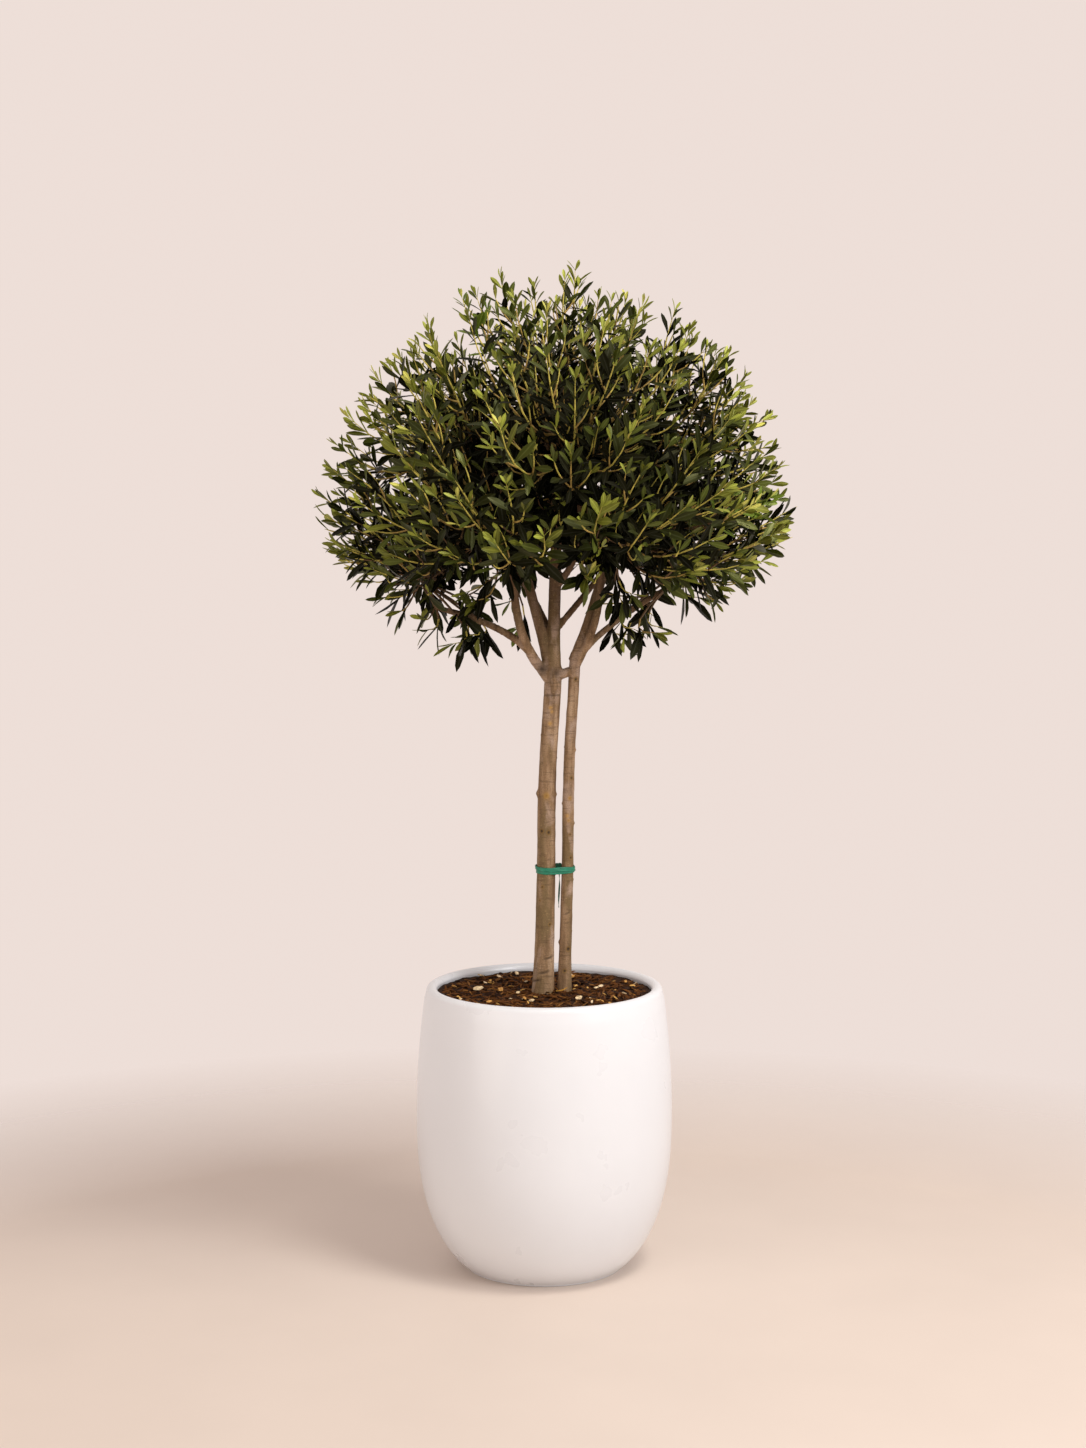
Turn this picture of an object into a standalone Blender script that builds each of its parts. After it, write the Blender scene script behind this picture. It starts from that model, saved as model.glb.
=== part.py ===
"""A two-stemmed standard tree with a round clipped head, in a barrel-shaped white pot.

Metres, +Z up. The origin is the centre of the pot's flat underside, +X is to the right and
-Y is the front. The pot, the potting mix, each stem, each bough, the tie and each mass of
foliage are separate solids that keep GAP clear of each other.
"""

import math
import random

import bmesh
import bpy
from mathutils import Matrix, Quaternion, Vector
from mathutils.bvhtree import BVHTree

UP = Vector((0.0, 0.0, 1.0))
GAP = 0.0003  # between two pieces that meet
GOLDEN_ANGLE = math.radians(137.5)
EVEN_STEP = 0.4142  # multiples of this, modulo 1, are spread evenly

# The pot: a barrel that swells to its belly and draws in to a flat foot.
POT_HEIGHT = 0.490
POT_RADIUS = 0.225
POT_BELLY_HEIGHT = 0.272
POT_FOOT_RADIUS = 0.132
POT_RIM_RADIUS = 0.2085
POT_WALL = 0.020
POT_FLOOR = 0.025
POT_STEPS = 32
BELLY_ROUND = 2.6  # exponent of the curve from the foot to the belly
BELLY_FULL = 1.4

# The potting mix fills the pot to just under its lip.
GROUND = 0.477
MIX_RINGS = 4
MIX_BUMP = 0.004
MIX_FLAT = 0.060  # round the feet of the stems

# The stems: foot and top on the ground plan, then radii from the ground up.
MAIN_FOOT = Vector((-0.0025, -0.001, GROUND))
MAIN_TOP = Vector((0.0120, -0.001, 1.030))
MAIN_RADIUS = 0.0175
SECOND_FOOT = Vector((0.0345, 0.003, GROUND))
SECOND_TOP = Vector((0.0515, 0.003, 1.072))
SECOND_RADIUS = 0.0112
STEM_TAPER = 0.84  # radius at the top as a share of that near the foot
STEM_FLARE = 0.16  # extra width where the stem enters the ground
STEM_SWAY = 0.0035
STEM_RINGS = 9
STEM_SIDES = 12

# The head of the main stem, where its boughs leave it, and the spur to its neighbour.
HEAD_RISE = 0.030
HEAD_SWELL = 1.12

# Each bough is one tapering limb: the limb that it leaves, how far along that limb, its
# azimuth in degrees at its foot (0 is +X, 270 the front) and how far it swings round from
# there, its lean from upright at foot and tip, its length, and its radius at foot and tip.
BOUGHS = {
    "leader": ("stem_main", 0.965, 60, 0, 2, 4, 0.470, 0.0118, 0.0075),
    "bough_mid_left": ("stem_main", 0.945, 172, 0, 13, 18, 0.385, 0.0105, 0.0062),
    "bough_left": ("stem_main", 0.940, 190, 72, 46, 20, 0.245, 0.0098, 0.0060),
    "bough_spur": ("stem_main", 0.950, 356, 0, 62, 72, 0.034, 0.0085, 0.0080),
    "bough_right_up": ("stem_second", 0.980, 4, 0, 20, 14, 0.335, 0.0098, 0.0062),
    "bough_left_low": ("bough_left", 0.29, 184, 0, 46, 74, 0.165, 0.0072, 0.0052),
    "bough_right": ("stem_second", 0.970, 345, -70, 34, 26, 0.190, 0.0080, 0.0056),
    "bough_right_low": ("bough_right", 0.17, 352, 0, 44, 58, 0.170, 0.0060, 0.0048),
    "bough_back_right": ("leader", 0.155, 25, 28, 44, 52, 0.200, 0.0060, 0.0048),
    "bough_back_left": ("leader", 0.110, 118, 12, 36, 50, 0.215, 0.0062, 0.0046),
    "bough_front": ("leader", 0.320, 345, -90, 44, 24, 0.220, 0.0060, 0.0046),
    "bough_back_high": ("leader", 0.460, 100, 0, 40, 28, 0.190, 0.0056, 0.0044),
}
BOUGH_POINTS = 6
BOUGH_SIDES = 7
BEND = 1.7  # how soon a bough turns from its first bearing to its last
FOOT_SWELL = 1.25  # collar where a bough leaves its limb

# The head of foliage: how far its furthest tips reach from its middle.
CROWN_CENTRE = Vector((0.024, 0.0, 1.310))
CROWN_RADIUS = 0.437
CROWN_RISE = 0.469
CROWN_DROP = 0.240
CROWN_DROP_FRONT = 0.165  # the underside is higher at the front and back
DOME_POWER = 1.7  # 2 is an ellipse; less is more pointed
UNDER_POWER = 1.9
HOLLOW = 35  # degrees round straight down that stay open under the head, at the sides
HOLLOW_FRONT = 60  # the same at the front and back

# Each mass of foliage: the bough it grows from, and the azimuth, elevation and share of
# the crown's reach at which the middle of its space lies.
MASSES = {
    "foliage_top": ("leader", 90, 88, 0.58),
    "foliage_left_high": ("bough_mid_left", 176, 38, 0.62),
    "foliage_front_left": ("bough_left", 236, 3, 0.62),
    "foliage_left_low": ("bough_left_low", 181, -6, 0.66),
    "foliage_right_high": ("bough_right_up", 4, 38, 0.62),
    "foliage_front_right": ("bough_right", 305, 3, 0.62),
    "foliage_right_low": ("bough_right_low", 0, -6, 0.66),
    "foliage_front_high": ("bough_front", 272, 38, 0.62),
    "foliage_back_right": ("bough_back_right", 58, 3, 0.62),
    "foliage_back_left": ("bough_back_left", 122, 3, 0.62),
    "foliage_back_high": ("bough_back_high", 90, 38, 0.62),
}

# The growth rule's sizes. A leaf here is larger than life, to cover for the many.
SEED = 11
SHOOTS = 122
SHOOT_JITTER = 0.06  # strays from an even spread over the crown
SHOOT_SHORT = (0.88, 0.97)  # two shoots in three stop at this share of the full reach
SHOOT_LENGTH = 0.175
SHOOT_BARE = 0.58  # share of a shoot below its first leaf
SHOOT_LEAVES = 5
FORK_SHARE = 0.35  # how far into its space a mass's stem runs before it forks
HUB_SHARE = 0.45  # how far a twig runs towards its tips before it forks
HUB_TIPS = 3  # shoots that leave the last fork
TWIG_THIN = 0.8  # radius of a twig at its end as a share of that at its foot
UPTURN = 0.55  # how strongly shoots turn up towards the light
STEM_NECK = 0.018  # how far a mass's stem carries straight on from its bough
TWIG_RADIUS = 0.0046
SHOOT_RADIUS = 0.0021
LEAF_LENGTH = 0.098
LEAF_WIDTH = 0.034
LEAF_KEEL = 0.0036  # depth of the fold beneath its midrib
LEAF_OPEN = 78  # degrees between a shoot and its lowest leaf; the upper ones lie closer
LEAF_FORWARD = 40
LEAF_SINK = 0.0012
TIP_LEAF = 0.76  # size of the leaf at the tip of a shoot
SPACE_MARGIN = 0.0006  # each mass keeps this far inside its own space
LIMB_MARGIN = 0.0025
LIMB_CLEAR = 0.0020
CORE_SHARE = 0.74  # the clipped head is dense: cores fill its dark inside
CORE_MARGIN = 0.0005
CORE_ROUGH = 0.04  # dents and bumps, as a share of the crown's reach
CORE_LEAVES = 190  # stand straight out of the cores, between the shoots
CORE_LEAF_OPEN = 52  # degrees between such a leaf and straight out
CORE_SINK = 0.004

# The tie: a flat band round both stems, with its knot and loose end behind.
TIE_HEIGHT = 0.693
TIE_WIDTH = 0.016
TIE_THICK = 0.0014
TIE_GAP = 0.0012
TIE_TILT = 5  # degrees up at the back
TIE_TAIL = 0.075


# ---- scene, materials and shape tools ---------------------------------------------------


def clear_scene():
    for obj in list(bpy.data.objects):
        bpy.data.objects.remove(obj, do_unlink=True)


def new_collection(name):
    collection = bpy.data.collections.new(name)
    bpy.context.scene.collection.children.link(collection)
    return collection


def new_material(name, colour, roughness):
    material = bpy.data.materials.new(name)
    material.use_nodes = True
    shader = material.node_tree.nodes["Principled BSDF"]
    shader.inputs["Base Color"].default_value = (*colour, 1.0)
    shader.inputs["Roughness"].default_value = roughness
    shader.inputs["Metallic"].default_value = 0.0
    return material


def add_object(name, mesh, collection, material=None):
    obj = bpy.data.objects.new(name, mesh)
    collection.objects.link(obj)
    if material:
        mesh.materials.clear()
        mesh.materials.append(material)
    return obj


def mesh_of(name, bm, matrix=None):
    mesh = bpy.data.meshes.new(name)
    if matrix:
        bm.transform(matrix)
    bm.to_mesh(mesh)
    bm.free()
    return mesh


def turned(name, profile, steps, collection, material):
    """A solid of revolution about Z from (radius, height) points, outer side top to bottom."""
    bm = bmesh.new()
    corners = [bm.verts.new((radius, 0.0, height)) for radius, height in profile]
    for first, second in zip(corners, corners[1:]):
        bm.edges.new((first, second))
    obj = add_object(name, mesh_of(name, bm), collection, material)
    screw = obj.modifiers.new("Turn", "SCREW")
    screw.steps = steps
    screw.render_steps = steps
    screw.use_merge_vertices = True
    screw.merge_threshold = 0.00001
    screw.use_smooth_shade = True
    return obj


def polygon(name, sides):
    """A closed curve round a circle of radius 1."""
    curve = bpy.data.curves.new(name, "CURVE")
    spline = curve.splines.new("POLY")
    spline.points.add(sides - 1)
    for index, corner in enumerate(spline.points):
        turn = math.tau * index / sides
        corner.co = (math.cos(turn), math.sin(turn), 0.0, 1.0)
    spline.use_cyclic_u = True
    outline = bpy.data.objects.new(name, curve)
    bpy.context.scene.collection.objects.link(outline)
    return outline


def tube_mesh(name, points, radii, sides):
    """The closed mesh of a bevelled curve through the points, as thick as the radii say."""
    outline = polygon("outline", sides)
    curve = bpy.data.curves.new(name, "CURVE")
    curve.dimensions = "3D"
    curve.bevel_mode = "OBJECT"
    curve.bevel_object = outline
    curve.use_fill_caps = True
    spline = curve.splines.new("POLY")
    spline.points.add(len(points) - 1)
    for corner, point, radius in zip(spline.points, points, radii):
        corner.co = (*point, 1.0)
        corner.radius = radius
    guide = bpy.data.objects.new(name, curve)
    bpy.context.scene.collection.objects.link(guide)
    bpy.context.view_layer.update()
    graph = bpy.context.evaluated_depsgraph_get()
    mesh = bpy.data.meshes.new_from_object(guide.evaluated_get(graph))
    for obj in (guide, outline):
        data = obj.data
        bpy.data.objects.remove(obj)
        bpy.data.curves.remove(data)
    bm = bmesh.new()
    bm.from_mesh(mesh)
    bmesh.ops.remove_doubles(bm, verts=bm.verts, dist=0.00001)
    bmesh.ops.recalc_face_normals(bm, faces=bm.faces)
    bm.to_mesh(mesh)
    bm.free()
    mesh.shade_smooth()
    return mesh


def bake(obj):
    """Applies an object's modifiers."""
    bpy.context.view_layer.update()
    graph = bpy.context.evaluated_depsgraph_get()
    mesh = bpy.data.meshes.new_from_object(obj.evaluated_get(graph))
    obj.modifiers.clear()
    obj.data = mesh
    return mesh


def cut(obj, cutter):
    boolean = obj.modifiers.new("Clear of " + cutter.name, "BOOLEAN")
    boolean.operation = "DIFFERENCE"
    boolean.solver = "EXACT"
    boolean.object = cutter


def largest_body(mesh):
    """Leaves the one outer body of a mesh: sealed hollows and loose scraps go."""
    bm = bmesh.new()
    bm.from_mesh(mesh)
    left = set(bm.faces)
    bodies = []
    while left:
        body = {left.pop()}
        front = list(body)
        while front:
            face = front.pop()
            for side in face.edges:
                for other in side.link_faces:
                    if other in left:
                        left.remove(other)
                        body.add(other)
                        front.append(other)
        volume = 0.0
        for face in body:
            corners = [corner.co for corner in face.verts]
            for second, third in zip(corners[1:], corners[2:]):
                volume += corners[0].dot(second.cross(third)) / 6
        bodies.append((volume, body))
    bodies.sort(key=lambda entry: entry[0])
    for _, body in bodies[:-1]:
        bmesh.ops.delete(bm, geom=list(body), context="FACES")
    loose = [corner for corner in bm.verts if not corner.link_faces]
    bmesh.ops.delete(bm, geom=loose, context="VERTS")
    bm.to_mesh(mesh)
    bm.free()


# ---- the pot and its mix ----------------------------------------------------------------


def pot_radius(height):
    """The pot's outside radius at a height."""
    if height < POT_BELLY_HEIGHT:
        down = 1.0 - height / POT_BELLY_HEIGHT
        share = (1.0 - down**BELLY_ROUND) ** (1.0 / BELLY_FULL)
        return POT_FOOT_RADIUS + (POT_RADIUS - POT_FOOT_RADIUS) * share
    up = (height - POT_BELLY_HEIGHT) / (POT_HEIGHT - POT_BELLY_HEIGHT)
    return POT_RADIUS - (POT_RADIUS - POT_RIM_RADIUS) * up**2


def inner_wall(top):
    """Points up the inside of the pot, from the edge of its floor to a height."""
    steps = 4
    heights = [POT_FLOOR + (top - POT_FLOOR) * (step / steps) ** 1.4 for step in range(steps + 1)]
    return [(pot_radius(height) - POT_WALL, height) for height in heights]


def make_pot(collection, material):
    lip = POT_WALL / 2
    lip_middle = POT_RIM_RADIUS - lip
    lip_height = POT_HEIGHT - lip
    profile = [(0.0, POT_FLOOR)] + inner_wall(POT_HEIGHT - POT_WALL / 2)
    for step in range(1, 5):
        turn = math.pi * (1.0 - step / 5)
        profile.append((lip_middle + lip * math.cos(turn), lip_height + lip * math.sin(turn)))
    steps = 8
    for step in range(steps):
        height = lip_height * (1.0 - step / steps) ** 1.5
        profile.append((pot_radius(height), height))
    profile += [(POT_FOOT_RADIUS, 0.0), (0.0, 0.0)]
    return turned("pot", profile, POT_STEPS, collection, material)


def make_mix(collection, material):
    """The mix fills the pot; its top is uneven, but flat where the stems stand."""
    rng = random.Random(SEED)
    wall = inner_wall(POT_HEIGHT - POT_WALL / 2)
    (last_radius, last_height), (lip_radius, lip_height) = wall[-2:]
    rise = (GROUND - last_height) / (lip_height - last_height)
    wall[-1] = (last_radius + (lip_radius - last_radius) * rise, GROUND - GAP * 2)
    edge = [(radius - GAP * 2, height + GAP) for radius, height in wall]
    profile = [(edge[-1][0] * ring / MIX_RINGS, GROUND - GAP) for ring in range(MIX_RINGS)]
    profile += list(reversed(edge)) + [(0.0, POT_FLOOR + GAP)]
    mix = turned("potting_mix", profile, POT_STEPS, collection, material)
    mesh = bake(mix)
    for corner in mesh.vertices:
        here = corner.co
        near = min((here - foot).length for foot in (MAIN_FOOT, SECOND_FOOT))
        if here.z > GROUND - 0.001 and near > MIX_FLAT:
            here.z -= MIX_BUMP * rng.random()
    return mix


# ---- limbs ------------------------------------------------------------------------------


def direction(azimuth, elevation):
    turn, rise = math.radians(azimuth), math.radians(elevation)
    level = math.cos(rise)
    return Vector((level * math.cos(turn), level * math.sin(turn), math.sin(rise)))


class Limb:
    """A tapering limb: a path of points with a radius at each."""

    def __init__(self, name, points, radii):
        self.name = name
        self.points = points
        self.radii = radii
        self.sides = STEM_SIDES if name.startswith("stem") else BOUGH_SIDES

    def at(self, share):
        """The point that lies this share of the limb's length from its foot."""
        left = share * sum((b - a).length for a, b in zip(self.points, self.points[1:]))
        for first, second in zip(self.points, self.points[1:]):
            step = (second - first).length
            if left <= step:
                return first.lerp(second, left / step)
            left -= step
        return self.points[-1].copy()

    def heading(self):
        return (self.points[-1] - self.points[-2]).normalized()

    def clearance(self, point):
        """The distance from a point to the limb's surface."""
        nearest = math.inf
        ends = zip(self.points, self.points[1:], self.radii, self.radii[1:])
        for first, second, foot_radius, tip_radius in ends:
            along = second - first
            share = max(0.0, min(1.0, (point - first).dot(along) / along.length_squared))
            radius = foot_radius + (tip_radius - foot_radius) * share
            nearest = min(nearest, (point - first - along * share).length - radius)
        return nearest


def stem_limb(name, foot, top, radius):
    """A stem from its flat cut at the ground, with a slight flare there and a true taper."""
    points = []
    radii = []
    for ring in range(STEM_RINGS + 1):
        share = ring / STEM_RINGS
        point = foot.lerp(top, share)
        point.x += STEM_SWAY * math.sin(share * math.tau * 1.2) * share
        point.y += STEM_SWAY * math.sin(share * math.tau * 0.8)
        flare = STEM_FLARE * math.exp(-share * 22.0)
        points.append(point)
        radii.append(radius * (1.0 - (1.0 - STEM_TAPER) * share + flare))
    return Limb(name, points, radii)


def add_head(limb):
    """Widens the main stem's top into the head that carries its boughs, closed by a dome."""
    top = limb.points[-1]
    radius = limb.radii[-1]
    for rise, swell in ((0.45, 1.0), (0.8, 0.86), (1.0, 0.55)):
        limb.points.append(top + UP * HEAD_RISE * rise)
        limb.radii.append(radius * HEAD_SWELL * swell)
    limb.radii[STEM_RINGS] *= 1.08


def bough_limb(name, limbs):
    """A bough that leaves its limb on one bearing and soon bends to another."""
    parent, share, azimuth, swing, foot_lean, tip_lean, length, *radius = BOUGHS[name]
    foot_radius, tip_radius = radius
    point = limbs[parent].at(share)
    points = [point.copy()]
    radii = [foot_radius * FOOT_SWELL]
    for step in range(1, BOUGH_POINTS + 1):
        done = (step - 0.5) / BOUGH_POINTS
        first = (1.0 - done) ** BEND
        lean = tip_lean + (foot_lean - tip_lean) * first
        point = point + direction(azimuth + swing * (1.0 - first), 90 - lean) * length / BOUGH_POINTS
        points.append(point.copy())
        radii.append(foot_radius + (tip_radius - foot_radius) * step / BOUGH_POINTS)
    return Limb(name, points, radii)


def cut_flat(mesh):
    """Levels the foot of a stem where it stands on the ground."""
    for corner in mesh.vertices:
        if corner.co.z < GROUND + 0.005:
            corner.co.z = GROUND


def make_limbs(collection, material):
    """Builds the stems and boughs, each cut clear of those made before it that it meets."""
    limbs = {
        "stem_main": stem_limb("stem_main", MAIN_FOOT, MAIN_TOP, MAIN_RADIUS),
        "stem_second": stem_limb("stem_second", SECOND_FOOT, SECOND_TOP, SECOND_RADIUS),
    }
    add_head(limbs["stem_main"])
    for name in BOUGHS:
        limbs[name] = bough_limb(name, limbs)
    made = []
    for name, limb in limbs.items():
        mesh = tube_mesh(name, limb.points, limb.radii, limb.sides)
        if name.startswith("stem"):
            cut_flat(mesh)
        obj = add_object(name, mesh, collection, material)
        cutters = []
        for other in made:
            if min(other.clearance(point) - limb.radii[0] for point in limb.points) > GAP:
                continue
            clear = [radius + GAP for radius in other.radii]
            cutter_mesh = tube_mesh(other.name + " clearance", other.points, clear, other.sides)
            cutters.append(add_object(other.name + " clearance", cutter_mesh, collection))
            cut(obj, cutters[-1])
        if cutters:
            largest_body(bake(obj))
        for cutter in cutters:
            bpy.data.objects.remove(cutter, do_unlink=True)
        made.append(limb)
    return limbs


# ---- the crown --------------------------------------------------------------------------


def sideways(heading):
    """1 where a direction faces left or right, 0 where it faces the front or back."""
    return (heading.x / max(math.hypot(heading.x, heading.y), 0.0001)) ** 2


def crown_reach(heading):
    """How far the crown's furthest tips lie from its middle in a direction."""
    level = math.hypot(heading.x, heading.y)
    if heading.z >= 0:
        power, height = DOME_POWER, CROWN_RISE
    else:
        power = UNDER_POWER
        height = CROWN_DROP_FRONT + (CROWN_DROP - CROWN_DROP_FRONT) * sideways(heading)
    return ((level / CROWN_RADIUS) ** power + (abs(heading.z) / height) ** power) ** (-1 / power)


def in_hollow(heading):
    """Whether a direction points into the open underside."""
    half_angle = HOLLOW_FRONT + (HOLLOW - HOLLOW_FRONT) * sideways(heading)
    return heading.z < -math.cos(math.radians(half_angle))


def even_heading(number, count):
    """One of a number of directions spread evenly all round, from the top down."""
    rise = 1.0 - 2.0 * (number + 0.3) / count
    level = math.sqrt(1.0 - rise * rise)
    turn = number * GOLDEN_ANGLE
    return Vector((level * math.cos(turn), level * math.sin(turn), rise))


def crowded(number, heading):
    """Whether to leave one out because the crown reaches less far there."""
    return number * EVEN_STEP % 1.0 > (crown_reach(heading) / CROWN_RADIUS) ** 2


def crown_tips(count, rng):
    """Points spread evenly over the crown, where its shoots end, but none in its hollow."""
    tips = []
    for number in range(count):
        heading = even_heading(number, count)
        if number:
            heading += Vector([rng.uniform(-SHOOT_JITTER, SHOOT_JITTER) for _ in range(3)])
            heading.normalize()
        reach = crown_reach(heading)
        if in_hollow(heading) or crowded(number, heading):
            continue
        share = 1.0 if number % 3 == 0 else rng.uniform(*SHOOT_SHORT)
        tips.append(CROWN_CENTRE + heading * reach * share)
    return tips


class Space:
    """The part of the crown that is nearer to one mass's middle than to any other's."""

    def __init__(self, name, middles):
        self.middle = middles[name]
        self.others = [middle for other, middle in middles.items() if other != name]

    def inside(self, point, margin=0.0):
        for other in self.others:
            across = other - self.middle
            halfway = (self.middle + other) / 2
            if (halfway - point).dot(across) / across.length < margin:
                return False
        return True


def split_tips(tips, start):
    """Halves a group of tips across the direction in which they spread most, seen from start."""
    middle = sum(tips, Vector()) / len(tips)
    forward = (middle - start).normalized()
    spread = max(((tip - middle) - forward * (tip - middle).dot(forward) for tip in tips),
                 key=lambda offset: offset.length)
    ordered = sorted(tips, key=lambda tip: (tip - middle).dot(spread))
    half = len(ordered) // 2
    return ordered[:half], ordered[half:]


def shoot_path(start, tip, pieces=2):
    """A shoot's points: it sets out outwards and turns up towards its tip."""
    outward = (tip - CROWN_CENTRE).normalized()
    finish = (outward + UP * UPTURN).normalized()
    reach = (tip - start).length
    elbow = tip - finish * reach * 0.45
    points = []
    for step in range(pieces + 1):
        t = step / pieces
        points.append(start.lerp(elbow, t).lerp(elbow.lerp(tip, t), t))
    return points


class Mass:
    """One mass of foliage: twigs and leaves that branch by rule from one stem."""

    def __init__(self, name, limb, space, limbs, rng):
        self.name = name
        self.space = space
        self.limbs = limbs
        self.rng = rng
        self.limb = limb
        self.twigs = []
        self.leaves = []

    def free(self, points, thickness=0.0):
        """Whether the points keep to the mass's space and off every limb."""
        return all(
            self.space.inside(point, SPACE_MARGIN + thickness)
            and all(limb.clearance(point) > LIMB_MARGIN + thickness for limb in self.limbs)
            for point in points
        )

    def grow(self, start, tips, radius):
        """Runs a twig towards a group of tips, forks there, and ends in leafy shoots."""
        middle = sum(tips, Vector()) / len(tips)
        room = max(0.0, (middle - start).length - SHOOT_LENGTH)
        last = len(tips) <= HUB_TIPS
        hub = start + (middle - start).normalized() * room * (1.0 if last else HUB_SHARE)
        hub_radius = max(SHOOT_RADIUS, radius * TWIG_THIN)
        if (hub - start).length > 0.008:
            self.twigs.append(([start, hub], [radius, hub_radius]))
        if last:
            for tip in tips:
                self.add_shoot(hub, tip, min(hub_radius, SHOOT_RADIUS * 1.4))
            return
        for group in split_tips(tips, hub):
            self.grow(hub, group, hub_radius)

    def add_shoot(self, start, tip, radius):
        heading = (tip - CROWN_CENTRE).normalized()
        wood_tip = tip - (heading + UP * UPTURN).normalized() * (LEAF_LENGTH * TIP_LEAF - 0.004)
        path = shoot_path(start, wood_tip)
        if not self.free(path[1:], radius):
            return
        self.twigs.append((path, [radius, (radius + SHOOT_RADIUS) / 2, SHOOT_RADIUS * 0.7]))
        roll = self.rng.uniform(0.0, math.tau)
        for number in range(SHOOT_LEAVES):
            share = SHOOT_BARE + (1.0 - SHOOT_BARE) * number / (SHOOT_LEAVES - 1)
            piece = min(int(share * 2), 1)
            along = (path[piece + 1] - path[piece]).normalized()
            foot = path[piece].lerp(path[piece + 1], share * 2 - piece)
            if number == SHOOT_LEAVES - 1:
                self.add_leaf(foot - along * 0.004, along, [roll], 3, TIP_LEAF)
            else:
                size = 1.0 - 0.2 * share + self.rng.uniform(-0.06, 0.06)
                opening = LEAF_OPEN - LEAF_FORWARD * number / (SHOOT_LEAVES - 2)
                turns = [roll + number * GOLDEN_ANGLE + step * math.tau / 7 for step in range(7)]
                self.add_leaf(foot, along, turns, opening, size)

    def cover_core(self, surface):
        """Adds leaves that stand straight out of the core."""
        for number in range(CORE_LEAVES):
            heading = even_heading(number, CORE_LEAVES)
            foot, *_ = surface.ray_cast(CROWN_CENTRE + heading, -heading)
            if crowded(number, heading) or not self.space.inside(foot):
                continue
            along = (heading + UP * UPTURN / 2).normalized()
            turns = [number + step * math.tau / 7 for step in range(7)]
            self.add_leaf(foot - heading * CORE_SINK, along, turns, CORE_LEAF_OPEN, 1.0)

    def add_leaf(self, foot, along, turns, opening, size):
        """Adds a leaf on the side of its shoot that has most room, if any side has."""
        best = None
        best_room = 0.0
        for turn in turns:
            side = along.orthogonal().normalized()
            side.rotate(Quaternion(along, turn))
            angle = math.radians(opening)
            axis = along * math.cos(angle) + side * math.sin(angle)
            face = (along - axis * along.dot(axis)) * 0.9 + UP * 0.25
            face = face - axis * face.dot(axis)
            if face.length < 0.05:
                face = side
            face.normalize()
            across = face.cross(axis)
            edge = across * LEAF_WIDTH * size / 2
            widest = foot + axis * LEAF_LENGTH * size * 0.5
            tip = foot + axis * LEAF_LENGTH * size
            others = [leaf_middle for *_, leaf_middle in self.leaves]
            room = min(((widest - other).length for other in others), default=1.0)
            keel = widest - face * LEAF_KEEL * size
            if room > best_room and self.free([tip, keel, widest + edge, widest - edge]):
                best_room = room
                best = (foot - axis * LEAF_SINK, axis, across, face, size, widest)
        if best:
            self.leaves.append(best)


def grow_masses(limbs):
    """Deals the crown's tips out to the masses and grows each from its bough's tip."""
    rng = random.Random(SEED)
    middles = {}
    for name, (_, azimuth, elevation, share) in MASSES.items():
        heading = direction(azimuth, elevation)
        middles[name] = CROWN_CENTRE + heading * crown_reach(heading) * share
    tips = crown_tips(SHOOTS, rng)
    core = core_surface()
    surface = BVHTree.FromBMesh(core)
    core.free()
    masses = []
    for name, (bough, _, _, _) in MASSES.items():
        space = Space(name, middles)
        own = [tip for tip in tips if space.inside(tip)]
        mass = Mass(name, limbs[bough], space, list(limbs.values()), rng)
        neck = mass.limb.points[-1] + mass.limb.heading() * STEM_NECK
        fork = neck.lerp(space.middle, FORK_SHARE)
        mass.twigs.append(([neck, fork], [TWIG_RADIUS, TWIG_RADIUS]))
        mass.grow(fork, own, TWIG_RADIUS)
        mass.cover_core(surface)
        masses.append(mass)
    return masses


def leaf_object(name, leaf, collection):
    """A thin leaf of six faces: foot, tip, two edges, and a keel along its underside."""
    foot, axis, across, face, size, _ = leaf
    bm = bmesh.new()
    bmesh.ops.create_uvsphere(bm, u_segments=3, v_segments=2, radius=1.0)
    for corner in bm.verts:
        x, y, z = corner.co
        along = LEAF_LENGTH * size * (0.5 + 0.5 * round(z))
        sideways = LEAF_WIDTH * size / 2 * y / math.sin(math.tau / 3)
        keel = LEAF_KEEL * size * (1.0 - abs(round(z))) * (x + 0.5) / 1.5
        corner.co = foot + axis * along + across * sideways - face * keel
    return add_object(name, mesh_of(name, bm), collection)


def core_surface():
    """The dense inside of the whole crown."""
    rng = random.Random(SEED)
    bm = bmesh.new()
    turned_about = Matrix.Rotation(1.0, 4, Vector((1.0, 0.6, 0.3)))
    bmesh.ops.create_icosphere(bm, subdivisions=2, radius=1.0, matrix=turned_about)
    for corner in bm.verts:
        heading = corner.co.normalized()
        share = CORE_SHARE + rng.uniform(-CORE_ROUGH, CORE_ROUGH)
        corner.co = CROWN_CENTRE + heading * crown_reach(heading) * share
    return bm


def core_object(name, mass, collection):
    """The dense inside of the crown as far as it lies in the mass's own space."""
    bm = core_surface()
    for other in mass.space.others:
        across = (other - mass.space.middle).normalized()
        edge = (mass.space.middle + other) / 2 - across * CORE_MARGIN
        everything = list(bm.verts) + list(bm.edges) + list(bm.faces)
        cut_edges = bmesh.ops.bisect_plane(bm, geom=everything, plane_co=edge, plane_no=across,
                                           clear_outer=True)["geom_cut"]
        rim = [side for side in cut_edges if isinstance(side, bmesh.types.BMEdge)]
        if rim:
            bmesh.ops.edgeloop_fill(bm, edges=rim)
    return add_object(name, mesh_of(name, bm), collection)


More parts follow.
